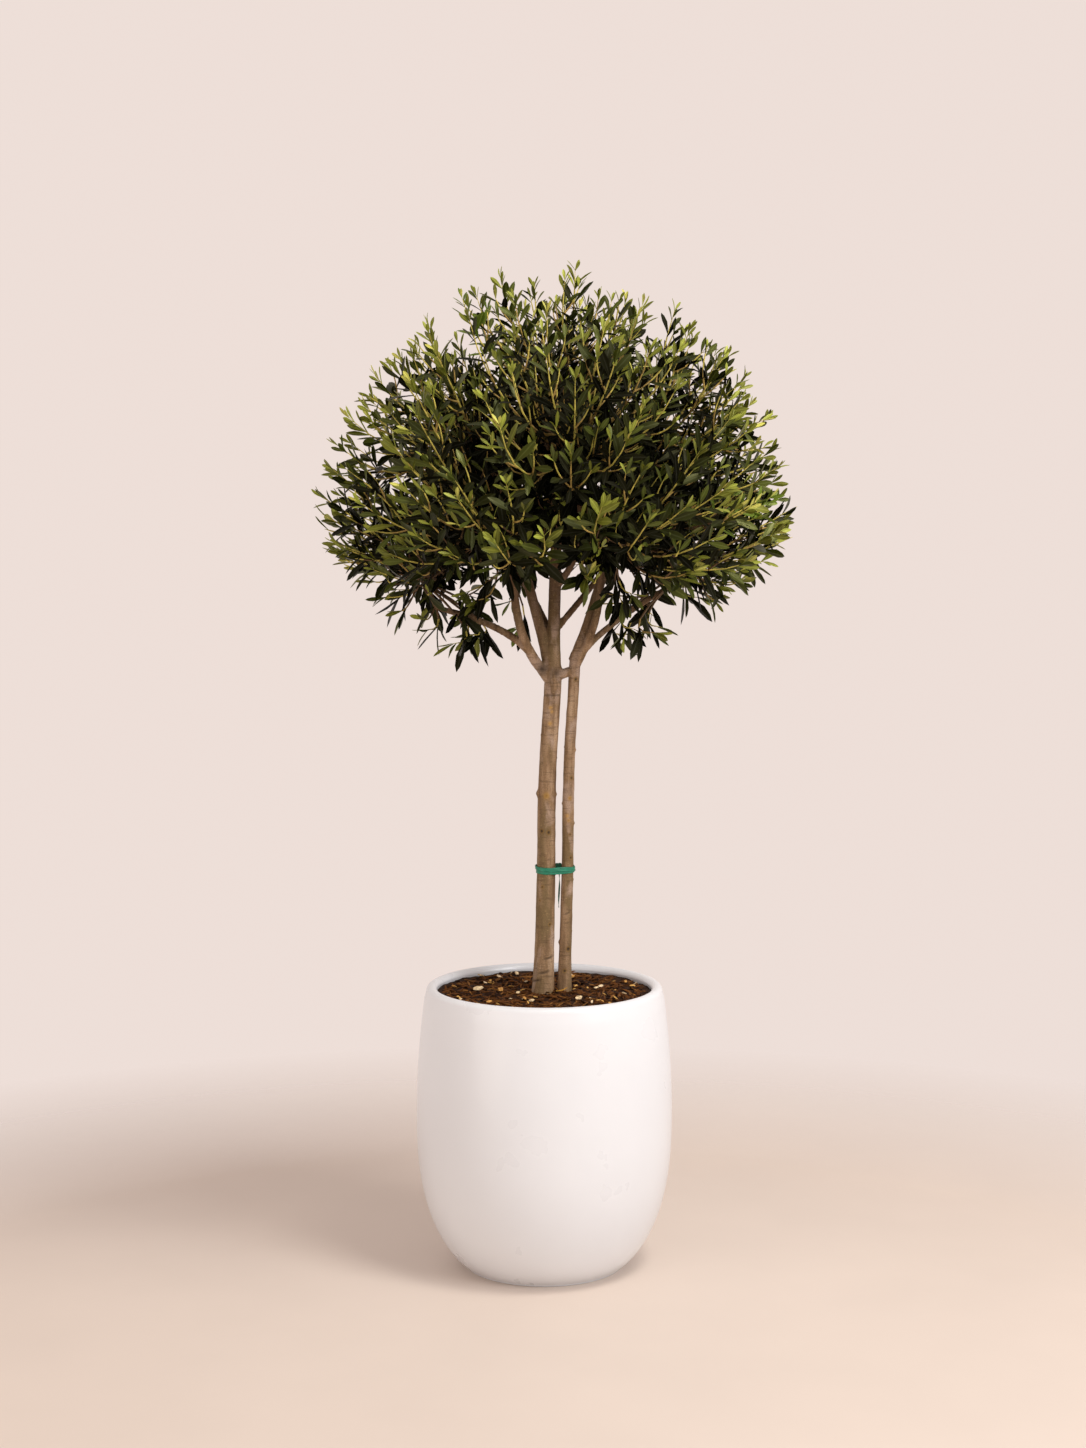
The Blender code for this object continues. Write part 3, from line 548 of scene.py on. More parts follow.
def stemLine(stem):
    points = []
    radii = []
    for ring in range(stemShape["rings"] + 1):
        share = ring / stemShape["rings"]
        point = stem["foot"].lerp(stem["top"], share)
        point.x += stemShape["sway"] * math.sin(share * math.tau * stemShape["swayAcross"]) * share
        point.y += stemShape["sway"] * math.sin(share * math.tau * stemShape["swayDeep"])
        flare = stemShape["flare"] * math.exp(-share * stemShape["flareFall"])
        points.append(point)
        radii.append(stem["radius"] * (1 - (1 - stemShape["taper"]) * share + flare))
    return points, radii


def makeLimbLines():
    lines = {name: stemLine(stem) for name, stem in stems.items()}
    points, radii = lines["stem_main"]
    top, radius = points[-1], radii[-1]
    for rise, swell in stemShape["head"]:
        points.append(top + up * stemShape["headRise"] * rise)
        radii.append(radius * stemShape["headSwell"] * swell)
    count = boughShape["points"]
    for name, (parent, share, azimuth, swing, footLean, tipLean, length, foot, tip) in boughs.items():
        point = pointAlong(lines[parent][0], share)
        points, radii = [point.copy()], [foot * boughShape["footSwell"]]
        for step in range(1, count + 1):
            first = (1 - (step - 0.5) / count) ** boughShape["bend"]
            lean = tipLean + (footLean - tipLean) * first
            point = point + direction(azimuth + swing * (1 - first), 90 - lean) * length / count
            points.append(point.copy())
            radii.append(foot + (tip - foot) * step / count)
        lines[name] = (points, radii)
    return lines


limbLines = makeLimbLines()

bark = {
    "voxel": 0.0016, "soften": 0.6, "softenSteps": 5, "spacing": 0.006, "swell": 1.02, "sides": 20,
    "sink": 0.006, "relief": 0.00065, "ripple": 1.6, "grain": 0.8, "roughness": 0.78, "gloss": 0.3,
    "markReach": 0.014, "hollowDepth": 0.0035, "hollowShade": 0.97,
}
# the colour that darkens the boughs up in the head is painted shade from the foliage
barkColours = {
    "streaks": [(0.32, (0.125, 0.070, 0.032)), (0.50, (0.270, 0.165, 0.085)), (0.68, (0.460, 0.310, 0.190))],
    "olive": (0.190, 0.125, 0.055), "blush": (0.400, 0.280, 0.200), "headShade": (0.110, 0.056, 0.022),
    "rings": (0.080, 0.045, 0.022), "specks": (0.420, 0.280, 0.130), "grain": (0.065, 0.036, 0.018),
    "ochre": (0.480, 0.260, 0.050), "dark": (0.030, 0.016, 0.008),
}
# hollows in the fork, sunk in and darkened with painted shade: place and reach
barkHollows = [(Vector((-0.004, -0.018, 1.048)), 0.0095), (Vector((0.0200, -0.015, 1.042)), 0.0085)]
# marks on the two stems: height, azimuth (270 is the front), kind and size
barkMarks = {
    "stem_main": [
        (1.0015, 268, "ring", 1.0), (0.980, 264, "patch", 0.6), (0.973, 274, "patch", 0.5),
        (0.952, 268, "patch", 0.6), (0.931, 200, "knob", 0.6), (0.827, 178, "knob", 1.5),
        (0.825, 268, "scar", 1.4),
        (0.826, 345, "knob", 1.0), (0.762, 238, "pit", 1.1), (0.760, 285, "pit", 1.1),
        (0.598, 300, "pit", 0.8), (0.664, 248, "pit", 0.6), (0.640, 232, "pit", 0.5),
        (0.539, 300, "nick", 1.3), (0.514, 272, "nick", 1.5), (0.499, 225, "nick", 1.6),
        (1.028, 196, "knob", 0.9), (0.890, 20, "knob", 0.8), (0.700, 95, "knob", 1.0),
        (0.930, 110, "pit", 0.9), (0.580, 140, "nick", 1.4), (0.860, 80, "scar", 1.2),
    ],
    "stem_second": [
        (1.029, 290, "pit", 1.0), (0.904, 345, "knob", 0.7), (0.909, 195, "knob", 0.5),
        (0.855, 300, "pit", 0.8), (0.819, 285, "scar", 0.9), (0.809, 190, "knob", 0.7),
        (0.788, 262, "patch", 0.7), (0.780, 275, "scar", 0.8), (0.774, 350, "knob", 0.8),
        (0.755, 290, "pit", 0.7), (0.714, 300, "pit", 0.8), (0.675, 340, "knob", 0.6),
        (0.616, 275, "nick", 0.9), (0.584, 335, "knob", 0.7), (0.564, 188, "knob", 1.0),
        (0.553, 300, "pit", 1.3), (0.515, 270, "pit", 1.0), (0.960, 60, "knob", 0.8),
        (0.740, 100, "scar", 0.9), (0.640, 120, "pit", 0.9),
    ],
}


def barkMaterial():
    material, tree, shader = newMaterial("tan bark", bark["roughness"], bark["gloss"])
    streak = noiseValue(tree, 75.0, stretch=(1, 1, 0.14), detail=6)
    moss = noiseValue(tree, 26.0, stretch=(1, 1, 0.3), detail=3)
    bloom = noiseValue(tree, 34.0, stretch=(1, 1, 0.45), detail=3, distortion=0.6)
    place = objectPlace(tree)
    height = addNode(tree, "ShaderNodeSeparateXYZ", "Z", {"Vector": place})
    rings = noiseValue(tree, 38.0, stretch=(1, 1, 9), detail=4)
    pores = addNode(tree, "ShaderNodeMapping", "Vector", {"Vector": place, "Scale": (1, 1, 2.2)})
    spots = addNode(tree, "ShaderNodeTexVoronoi", "Distance", {"Vector": pores, "Scale": 120.0})
    speck = mapRange(tree, spots, 0.10, 0.24, 1.0, 0.0)
    grain = noiseValue(tree, 520.0, detail=2)
    stains = {  # where each colour shows, one over another
        "olive": mapRange(tree, moss, 0.46, 0.60),
        "blush": mapRange(tree, bloom, 0.54, 0.68),
        "headShade": mapRange(tree, height, 1.07, 1.22, 0.0, 0.85),  # painted shade: darker up in the head, where the foliage shades the boughs
        "rings": mapRange(tree, rings, 0.56, 0.66, 0.0, 0.45),
        "specks": mapRange(tree, speck, 0, 1, 0, 0.5),
        "grain": mapRange(tree, grain, 0.45, 0.62, 0.0, 0.35),
        "ochre": addNode(tree, "ShaderNodeAttribute", "Fac", attribute_name="ochre"),
        "dark": addNode(tree, "ShaderNodeAttribute", "Fac", attribute_name="dark"),
    }
    colour = ramp(tree, streak, barkColours["streaks"])
    for stain, share in stains.items():
        colour = mixColour(tree, share, colour, barkColours[stain])
    paint(tree, shader, colour, (streak, 0.5, 0.0015), (rings, 0.4, 0.0010), (speck, 0.4, 0.0006),
          (grain, 0.3, 0.0004))
    return material


# how far the bark stands out, and how ochre and how dark it is, at a place near a mark
def markEffect(kind, size, along, around, distance):
    if kind == "ring":
        fall = fade(along, 0.0016) * max(0.0, math.cos(around / 1.6)) * 0.9
        return -0.0007 * fall, 0.0, 0.75 * fall
    if kind == "nick":
        slope = along - around * 0.004
        fall = fade(slope, 0.0013 * size) * math.exp(-(around / 0.55) ** 4)
        return -0.0009 * fall * size, 0.0, 0.8 * fall
    fall = fade(distance, 0.0038 * size)
    core = fade(distance, 0.0018 * size)
    if kind == "knob":
        return 0.0022 * size * fall, 0.1 * fall, 0.65 * core
    if kind == "pit":
        rim = fade(distance - 0.003 * size, 0.0012)
        return 0.0006 * rim - 0.0010 * fall * size, 0.55 * rim, 0.95 * fall
    if kind == "scar":
        return 0.0012 * size * fall - 0.0008 * core, 0.8 * fall, 0.55 * core
    return 0.0004 * fall, 0.75 * fade(distance, 0.0055 * size), 0.0


def barkAt(here, away, limb):  # how far the bark stands out, and how ochre and how dark it is
    azimuth = math.atan2(away.y, away.x)
    ripple = noise.noise(Vector((math.cos(azimuth) * 1.3, math.sin(azimuth) * 1.3, here.z * 9)))
    grain = noise.noise(Vector((here.x * 260, here.y * 260, here.z * 55)))
    rise = bark["relief"] * (ripple * bark["ripple"] + grain * bark["grain"])
    ochre = dark = 0.0
    radius = max(away.length, 0.004)
    for height, turn, kind, size in barkMarks.get(limb, ()):
        along = here.z - height
        if abs(along) > bark["markReach"]:
            continue
        around = (azimuth - math.radians(turn) + math.pi) % math.tau - math.pi
        distance = math.hypot(along, around * radius)
        lift, gilt, gloom = markEffect(kind, size, along, around, distance)
        rise += lift
        ochre = max(ochre, gilt)
        dark = max(dark, gloom)
    # painted shade in the fork's hollows
    for hollow, reach in barkHollows:
        near = fade((here - hollow).length, reach)
        rise -= bark["hollowDepth"] * near
        dark = max(dark, bark["hollowShade"] * near)
    return rise, ochre, min(1.0, dark)


def makeBark():
    strands = []
    samples = []
    for name, (points, radii) in limbLines.items():
        line, widths = smoothPath(points, radii, bark["spacing"])
        if name in stems:
            line[0] = line[0] - up * bark["sink"]
        strands.append((line, [width * bark["swell"] for width in widths]))
        samples += [(point, name) for point in line]
    limbs = curveObject("limbs", strands)
    rough = sceneObject("rough bark", runTree(limbs, tubeTree, {"Sides": bark["sides"]}))
    remesh = rough.modifiers.new("one skin", "REMESH")
    remesh.mode = "VOXEL"
    remesh.voxel_size = bark["voxel"]
    soften = rough.modifiers.new("soften", "SMOOTH")
    soften.factor = bark["soften"]
    soften.iterations = bark["softenSteps"]
    mesh = evaluatedMesh(rough)
    discard(limbs, rough)

    tree = KDTree(len(samples))
    for index, (point, _) in enumerate(samples):
        tree.insert(point, index)
    tree.balance()
    moved = []
    marks = []
    for vertex in mesh.vertices:
        here = vertex.co.copy()
        axisPoint, index, _ = tree.find(here)
        rise, *mark = barkAt(here, here - axisPoint, samples[index][1])
        marks.append(mark)
        moved.append(here + vertex.normal * rise)
    for label, values in zip(("ochre", "dark"), zip(*marks)):
        mesh.attributes.new(label, "FLOAT", "POINT").data.foreach_set("value", values)
    mesh.vertices.foreach_set("co", np.array(moved, np.float32).ravel())
    mesh.update()
    mesh.shade_smooth()
    addPiece("bark", mesh, barkMaterial(), "bark", *limbNodes)
    print("bark", len(mesh.polygons), "faces")


tubeTree = makeTubeTree()
makeBark()

# the head of foliage grows from the boughs' tips by the solids' rule
crown = {
    "seed": 11, "centre": Vector((0.024, 0, 1.310)), "radius": 0.437, "rise": 0.472, "drop": 0.240,
    "dropFront": 0.095, "domePower": 1.75, "underPower": 1.62, "flatTop": 0.035, "jitter": 0.06,
    "evenStart": 0.3, "evenStep": 0.4142,
    "hollow": 35, "hollowFront": 67,  # half angles of the open cone under the head
    "notch": -0.04, "notchHalf": 0.17, "notchTop": -0.02,  # a gap low in front
}
lowShoots = [  # tips of the sprays that hang under the two low boughs
    (-0.178, -0.135, 1.100), (-0.150, -0.090, 1.112), (-0.228, -0.060, 1.120), (-0.150, 0.080, 1.105),
    (0.212, -0.110, 1.118), (0.178, -0.080, 1.122), (0.170, 0.070, 1.105), (-0.060, 0.190, 1.112),
]
# bough it grows from, azimuth and elevation of its middle, share of the reach at which that lies
masses = {
    "foliage_top": ("leader", 90, 88, 0.58),
    "foliage_left_high": ("bough_mid_left", 176, 38, 0.62),
    "foliage_front_left": ("bough_left", 236, 3, 0.62),
    "foliage_left_low": ("bough_left_low", 181, -6, 0.66),
    "foliage_right_high": ("bough_right_up", 4, 38, 0.62),
    "foliage_front_right": ("bough_right", 305, 3, 0.62),
    "foliage_right_low": ("bough_right_low", 0, -6, 0.66),
    "foliage_front_high": ("bough_front", 272, 38, 0.62),
    "foliage_back_right": ("bough_back_right", 58, 3, 0.62),
    "foliage_back_left": ("bough_back_left", 122, 3, 0.62),
    "foliage_back_high": ("bough_back_high", 90, 38, 0.62),
}
# layers of shoots: how many, the share of the reach at which they end, leafy length, gap between
# leaves, side shoots, the lowest heading at which they grow, how often they are green, and how bright;
# the deeper layers are darker as painted shade
layers = {
    "outer": {"count": 262, "reach": (0.96, 1.03), "leafy": 0.145, "gap": 0.0090, "sides": 3,
              "lowest": -1, "green": 0.85, "bright": -0.15},
    "middle": {"count": 300, "reach": (0.58, 0.80), "leafy": 0.120, "gap": 0.0096, "sides": 1,
               "lowest": -0.25, "green": 0.4, "bright": -0.47},
    "inner": {"count": 640, "reach": (0.40, 0.66), "leafy": 0.105, "gap": 0.0092, "sides": 0,
              "lowest": -0.10, "green": 0.0, "bright": -0.73},
}
twigSettings = {
    "length": 0.175, "hubShare": 0.45, "forkShare": 0.35, "hubTips": 3, "neck": 0.018, "spread": 0.34,
    "swell": 1.25, "narrowing": 0.9, "sway": 0.08, "bow": 0.05, "shortest": 0.004, "rootDepth": 0.6,
    "oldRadius": 0.0017, "overlap": 0.006, "fit": 0.98, "tanAbove": (-0.3, 0.25),
    "sides": {"old": 6, "tan": 5, "green": 5},
}
shoots = {
    "source": Vector((0.022, 0, 1.115)),  # the shoots fan out from here
    "depth": 0.55,  # how far they lean to the front and back
    "straight": 0.58, "wander": 0.05, "radius": 0.0017, "thin": 0.62, "point": 0.35, "foot": 1.5,
    "steps": 6, "forkStep": 3, "tipLeaf": 0.45, "mostLeafy": 0.92, "fewestLeaves": 6,
    "sunTone": 0.4, "vigour": (0.88, 1.12), "leafyVary": (0.85, 1.15), "vividShare": 0.035,
    "lowBelow": -0.30, "lowEvery": 2, "lowRise": 0.04, "lowLeafy": 0.45, "lowDroop": 0.9, "lowLift": 0.6,
    "droop": 0.06,
    "sideAngle": 44, "sideAngleVary": 8, "sideLength": 0.075, "sideLengthVary": (0.75, 1.15),
    "sideFirst": 0.30, "sideStep": 0.17, "sideStepVary": 0.04, "sideTaper": (1.25, 0.6),
    "sideReach": 0.95, "sideThin": 0.72, "sideLeafy": 0.85, "sideOut": 0.8, "sideFinish": 0.45,
}
leaves = {
    "length": 0.051, "width": 0.255, "fold": 0.22, "narrowest": 0.80, "broadest": 1.20, "twist": 0.40,
    "open": 54, "openTip": 22, "openPower": 1.3, "openVary": 12, "turnVary": 0.25,
    "crowd": 1.5, "flatness": 0.5, "whorl": 3, "loose": 0.45,
    "faceUp": 0.25, "faceAlong": 0.7, "faceOut": 0.9,
    "sizeVary": (0.84, 1.12), "lowLarge": 1.15, "highSmall": 0.92, "hangingLarge": 1.08,
    "footSize": 0.86, "midSize": 0.22, "tipSize": -0.40, "tipSizePower": 2.4,
    "fullBy": 1.3, "middle": 0.55, "proud": 0.010, "clear": 0.004,
    "ribDepth": 0.016, "ribFoot": 0.01, "edgeSharp": 30,
    "stations": [(0.0, 0.07), (0.21, 0.44), (0.45, 0.86), (0.67, 1.0), (0.88, 0.62)],
    "plainStations": [(0.0, 0.07), (0.26, 0.60), (0.57, 1.0), (0.84, 0.64)],
    "shapes": {  # how far a blade arches back and how far it turns
        "Flat Blade": (0.03, 0.0), "Arched Blade": (0.16, 0.25), "Twisted Blade": (0.09, -0.45),
    },
}
# kinds of leaf from dark to light, and how bright a leaf must be for each
leafSteps = {
    "deep": 0.0, "dark": 0.12, "dull": 0.26, "mid": 0.40, "olive": 0.53, "fresh": 0.66, "young": 0.86,
}
leafLight = {"tone": 0.46, "tip": 0.56, "tipPower": 1.8, "chance": 0.22, "vividFrom": 0.3, "vividTo": 0.8}
leafColours = {  # colour, roughness and gloss; deep and dark are near black, painted shade inside the head
    "deep": ((0.003, 0.003, 0.001), 0.60, 0.02), "dark": ((0.004, 0.004, 0.001), 0.42, 0.09),
    "dull": ((0.013, 0.016, 0.002), 0.37, 0.22), "mid": ((0.042, 0.052, 0.006), 0.35, 0.34),
    "olive": ((0.105, 0.112, 0.012), 0.35, 0.36), "vivid": ((0.078, 0.118, 0.010), 0.35, 0.32),
    "fresh": ((0.200, 0.218, 0.030), 0.36, 0.34), "young": ((0.385, 0.370, 0.080), 0.40, 0.25),
}
# pale and paleLift lighten the midrib, the leaf's own colour, and paint a highlight along the rims
leafShades = {
    "shine": (1.0, 1.0, 0.45), "pale": 1.9, "paleLift": 0.015, "darkest": 0.75, "lightest": 1.20,
}
twigColours = {"old": (0.110, 0.058, 0.020), "tan": (0.360, 0.235, 0.055), "green": (0.500, 0.410, 0.075)}


def sideways(heading):  # 0 straight to the front or back, 1 to the sides
    return (heading.x / max(math.hypot(heading.x, heading.y), 0.0001)) ** 2


def crownReach(heading):
    level = math.hypot(heading.x, heading.y)
    if heading.z >= 0:
        power, height = crown["domePower"], crown["rise"]
    else:
        power = crown["underPower"]
        height = crown["dropFront"] + (crown["drop"] - crown["dropFront"]) * sideways(heading)
    return ((level / crown["radius"]) ** power + (abs(heading.z) / height) ** power) ** (-1 / power)


def inHollow(heading):
    halfAngle = crown["hollowFront"] + (crown["hollow"] - crown["hollowFront"]) * sideways(heading)
    inNotch = abs(heading.x - crown["notch"]) < crown["notchHalf"] and heading.z < crown["notchTop"]
    return (inNotch and heading.y < 0) or heading.z < -math.cos(math.radians(halfAngle))


def evenHeading(number, count):
    rise = 1 - 2 * (number + crown["evenStart"]) / count
    level = math.sqrt(1 - rise * rise)
    turn = number * goldenAngle
    return Vector((level * math.cos(turn), level * math.sin(turn), rise))


def crownTips(rng):  # (tip, layer)
    tips = []
    for layer, settings in layers.items():
        for number in range(settings["count"]):
            heading = evenHeading(number, settings["count"])
            if number:
                heading += jolt(rng, crown["jitter"])
                heading.normalize()
            reach = crownReach(heading)
            crowded = number * crown["evenStep"] % 1 > (reach / crown["radius"]) ** 2
            bare = heading.z < shoots["lowBelow"] and number % shoots["lowEvery"]
            if inHollow(heading) or crowded or bare or heading.z < settings["lowest"]:
                continue
            flatter = crown["flatTop"] * max(0.0, heading.z) ** 4 * bool(number)
            share = rng.uniform(*settings["reach"]) - flatter
            tips.append((crown["centre"] + heading * reach * share, layer))
    tips += [(Vector(place), "outer") for place in lowShoots]
    return tips


def bowAt(start, elbow, end, t):  # a point on a bowed twig and the way it runs there
    first, second = start.lerp(elbow, t), elbow.lerp(end, t)
    return first.lerp(second, t), (second - first).normalized()


def middleOf(tips):
    return sum((tip for tip, _ in tips), Vector()) / len(tips)


def splitTips(tips, start):  # two groups, either side of the tips' middle
    middle = middleOf(tips)
    forward = (middle - start).normalized()
    offsets = [(tip - middle) - forward * (tip - middle).dot(forward) for tip, _ in tips]
    spread = max(offsets, key=lambda offset: offset.length)
    ordered = sorted(tips, key=lambda entry: (entry[0] - middle).dot(spread))
    half = len(ordered) // 2
    return ordered[:half], ordered[half:]


class Growth:  # collects the twigs and leaves of every mass, dealt out by colour
    def __init__(self):
        self.rng = random.Random(crown["seed"])
        self.twigs = {kind: [] for kind in twigColours}
        self.leaves = {kind: [] for kind in leafColours}

    def twigRadius(self, count):
        return shoots["radius"] * count ** twigSettings["spread"]

    def grow(self, start, tips, footRadius):
        middle = middleOf(tips)
        room = max(0.0, (middle - start).length - twigSettings["length"])
        last = len(tips) <= twigSettings["hubTips"]
        sway = jolt(self.rng) * room * twigSettings["sway"]
        hub = start + (middle - start).normalized() * room * (1 if last else twigSettings["hubShare"]) + sway
        hubRadius = min(footRadius, self.twigRadius(len(tips)))
        if (hub - start).length > twigSettings["shortest"]:
            self.addTwig(start, hub, footRadius, hubRadius)
        else:
            hub = start
        if last:
            for tip, layer in tips:
                self.addShoot(hub, tip, layer, hubRadius)
            return
        for group in splitTips(tips, hub):
            self.grow(hub, group, min(hubRadius, self.twigRadius(len(group)) * twigSettings["swell"]))

    def addTwig(self, start, end, footRadius, tipRadius):
        bow = jolt(self.rng) * (end - start).length * twigSettings["bow"]
        middle = (start + end) / 2 + bow
        root = start - (middle - start).normalized() * footRadius * twigSettings["rootDepth"]
        kind = "old" if footRadius > twigSettings["oldRadius"] else "tan"
        self.twigs[kind].append(([root, middle, end], [footRadius, (footRadius + tipRadius) / 2, tipRadius]))

    def addShoot(self, start, tip, layer, radius):
        rng = self.rng
        heading = (tip - crown["centre"]).normalized()
        finish = tip - shoots["source"]
        finish.y *= shoots["depth"]
        finish = finish.normalized()
        low = heading.z < shoots["lowBelow"]
        if low:  # the lowest shoots run level and carry a few hanging leaves at their ends
            finish = Vector((heading.x, heading.y, shoots["lowRise"])).normalized()
        woodTip = tip - finish * leaves["length"] * shoots["tipLeaf"]
        reach = (woodTip - start).length
        elbow = woodTip - finish * reach * shoots["straight"] + jolt(rng) * reach * shoots["wander"]
        foot = max(min(radius, shoots["radius"] * shoots["foot"]), shoots["radius"])
        # a spray's tone leans on its height: sprays high in the head get lighter leaves, as painted light
        # from above
        sun = 0.5 + 0.5 * heading.z
        spray = {
            "layer": layer, "heading": heading, "low": low,
            "tone": rng.random() * (1 - shoots["sunTone"]) + sun * shoots["sunTone"],
            "vigour": rng.uniform(*shoots["vigour"]), "vivid": rng.random() < shoots["vividShare"],
            "large": leaves["lowLarge"] + (leaves["highSmall"] - leaves["lowLarge"]) * sun,
        }
        leafy = min(layers[layer]["leafy"] * rng.uniform(*shoots["leafyVary"]), reach * shoots["mostLeafy"])
        if low:
            spray["large"] *= leaves["hangingLarge"]
            leafy *= shoots["lowLeafy"]
        self.addLeafyTwig(start, elbow, woodTip, foot, leafy, spray)
        roll = rng.uniform(0, math.tau)
        for number in range(1 if low else layers[layer]["sides"]):
            t = shoots["sideFirst"] + shoots["sideStep"] * number + wobble(rng, shoots["sideStepVary"])
            base, along = bowAt(start, elbow, woodTip, t)
            side = along.orthogonal().normalized()
            side.rotate(Quaternion(along, roll + number * goldenAngle))
            angle = math.radians(shoots["sideAngle"] + wobble(rng, shoots["sideAngleVary"]))
            outward = along * math.cos(angle) + side * math.sin(angle)
            longest, taper = shoots["sideTaper"]
            length = shoots["sideLength"] * rng.uniform(*shoots["sideLengthVary"]) * (longest - taper * t)
            sideWay = outward * shoots["sideOut"] + finish * shoots["sideFinish"]
            sideTip = base + sideWay.normalized() * length
            offset = sideTip - crown["centre"]
            beyond = offset.length - crownReach(offset.normalized()) * shoots["sideReach"]
            if beyond > 0:
                sideTip = sideTip - offset.normalized() * min(beyond, length * 0.5)
            self.addLeafyTwig(base, base + outward * length * 0.5, sideTip, foot * shoots["sideThin"],
                              length * shoots["sideLeafy"], spray)

    def addLeafyTwig(self, start, elbow, woodTip, foot, leafy, spray):
        thin = shoots["radius"] * shoots["thin"]
        steps, fork = shoots["steps"], shoots["forkStep"]
        path = [bowAt(start, elbow, woodTip, step / steps)[0] for step in range(steps + 1)]
        radii = [foot + (thin - foot) * step / steps for step in range(steps + 1)]
        radii[-1] *= shoots["point"]
        upper = "green" if self.rng.random() < layers[spray["layer"]]["green"] else "tan"
        lower = "tan" if spray["heading"].z > self.rng.uniform(*twigSettings["tanAbove"]) else "old"
        # deeper layers take the dark old colour: older wood, and painted shade deep in the head
        if spray["layer"] != "outer":
            lower = "old"
        if spray["layer"] == "inner":
            upper = "old"
        self.twigs[lower].append((path[:fork + 1], radii[:fork + 1]))
        self.twigs[upper].append((path[fork:], radii[fork:]))
        self.addLeaves(start, elbow, woodTip, leafy, spray)

    def addLeaves(self, start, elbow, woodTip, leafy, spray):
        rng = self.rng
        heading = spray["heading"]
        reach = (woodTip - start).length
        count = max(shoots["fewestLeaves"], int(leafy / layers[spray["layer"]]["gap"]))
        roll = rng.uniform(0, math.tau)
        for number in range(count):
            inWhorl = number % leaves["whorl"]
            up01 = min(1.0, (number - inWhorl * (1 - leaves["loose"])) / (count - 2))
            t = 1 - leafy / reach * (1 - up01) ** leaves["crowd"]
            foot, along = bowAt(start, elbow, woodTip, t)
            opening = leaves["open"] + (leaves["openTip"] - leaves["open"]) * up01 ** leaves["openPower"]
            opening = math.radians(opening + wobble(rng, leaves["openVary"]))
            outward = (heading - along * heading.dot(along)).normalized()
            beside = along.cross(outward)
            turn = roll + number * goldenAngle + wobble(rng, leaves["turnVary"])
            side = beside * math.cos(turn) + outward * math.sin(turn) * leaves["flatness"]
            axis = along * math.cos(opening) + side.normalized() * math.sin(opening)
            droop = shoots["droop"] * (1 - up01)
            if spray["low"]:
                droop = shoots["lowDroop"] * (1 - shoots["lowLift"] * up01)
            axis = (axis - up * droop).normalized()
            face = along * leaves["faceAlong"] + up * leaves["faceUp"]
            face += outward * rng.uniform(0.0, leaves["faceOut"])
            face = (face - axis * face.dot(axis)).normalized()
            full = math.pi * min(1, up01 * leaves["fullBy"])
            size = leaves["footSize"] + leaves["midSize"] * math.sin(full)
            size += leaves["tipSize"] * up01 ** leaves["tipSizePower"]
            size *= spray["vigour"] * spray["large"] * rng.uniform(*leaves["sizeVary"])
            self.leaves[self.leafKind(spray, up01)].append((foot, axis, face, size))

    def leafKind(self, spray, up01):  # painted light and shade: brighter outside, high in the head and towards the tips
        bright = layers[spray["layer"]]["bright"] + leafLight["chance"] * self.rng.random()
        # lighter towards the tips: young leaves there, and painted shade at the sprays' feet
        bright += leafLight["tone"] * spray["tone"] + leafLight["tip"] * up01 ** leafLight["tipPower"]
        onShow = spray["vivid"] and spray["layer"] == "outer"
        if onShow and leafLight["vividFrom"] < bright < leafLight["vividTo"]:
            return "vivid"
        return [kind for kind, least in leafSteps.items() if bright >= least or not least][-1]


def growCrown():
    growth = Growth()
    middles = {}
    for name, (_, azimuth, elevation, share) in masses.items():
        heading = direction(azimuth, elevation)
        middles[name] = crown["centre"] + heading * crownReach(heading) * share
    shares = {name: [] for name in masses}
    for tip, layer in crownTips(growth.rng):
        nearest = min(middles, key=lambda name: (middles[name] - tip).length_squared)
        shares[nearest].append((tip, layer))
    for name, (bough, *_) in masses.items():
        points, radii = limbLines[bough]
        ahead = (points[-1] - points[-2]).normalized()
        neck = points[-1] + ahead * twigSettings["neck"]
        fork = neck.lerp(middles[name], twigSettings["forkShare"])
        stemRadius = min(radii[-1], growth.twigRadius(len(shares[name])))
        forkRadius = stemRadius * twigSettings["narrowing"]
        growth.twigs["old"].append(([points[-1] - ahead * twigSettings["overlap"], neck, fork],
                                    [radii[-1] * twigSettings["fit"], stemRadius, forkRadius]))
        growth.grow(fork, shares[name], forkRadius)
    return growth


def withinReach(entries):  # leaves that stay inside the solids' box, but for a small margin
    low = [edge - leaves["proud"] for edge in cadBox[0]]
    high = [edge + leaves["proud"] for edge in cadBox[1]]
    kept = []
    for entry in entries:
        foot, axis, _, size = entry
        tip = foot + axis * leaves["length"] * size
        if all(a < value < b for a, value, b in zip(low, tip, high)):
            kept.append(entry)
    return kept


def clearOfLimbs(entries):  # leaves that touch no limb
    reach = leaves["length"] * leaves["middle"]
    middles = np.array([foot + axis * reach * size for foot, axis, _, size in entries])
    keep = np.ones(len(entries), bool)
    for points, radii in limbLines.values():
        for first, second, radius in zip(points, points[1:], radii):
            start = np.array(first)
            along = np.array(second) - start
            share = np.clip((middles - start) @ along / (along @ along), 0, 1)
            gap = np.linalg.norm(middles - start - share[:, None] * along, axis=1) - radius
            keep &= gap > leaves["clear"]
    return [entry for entry, kept in zip(entries, keep) if kept]


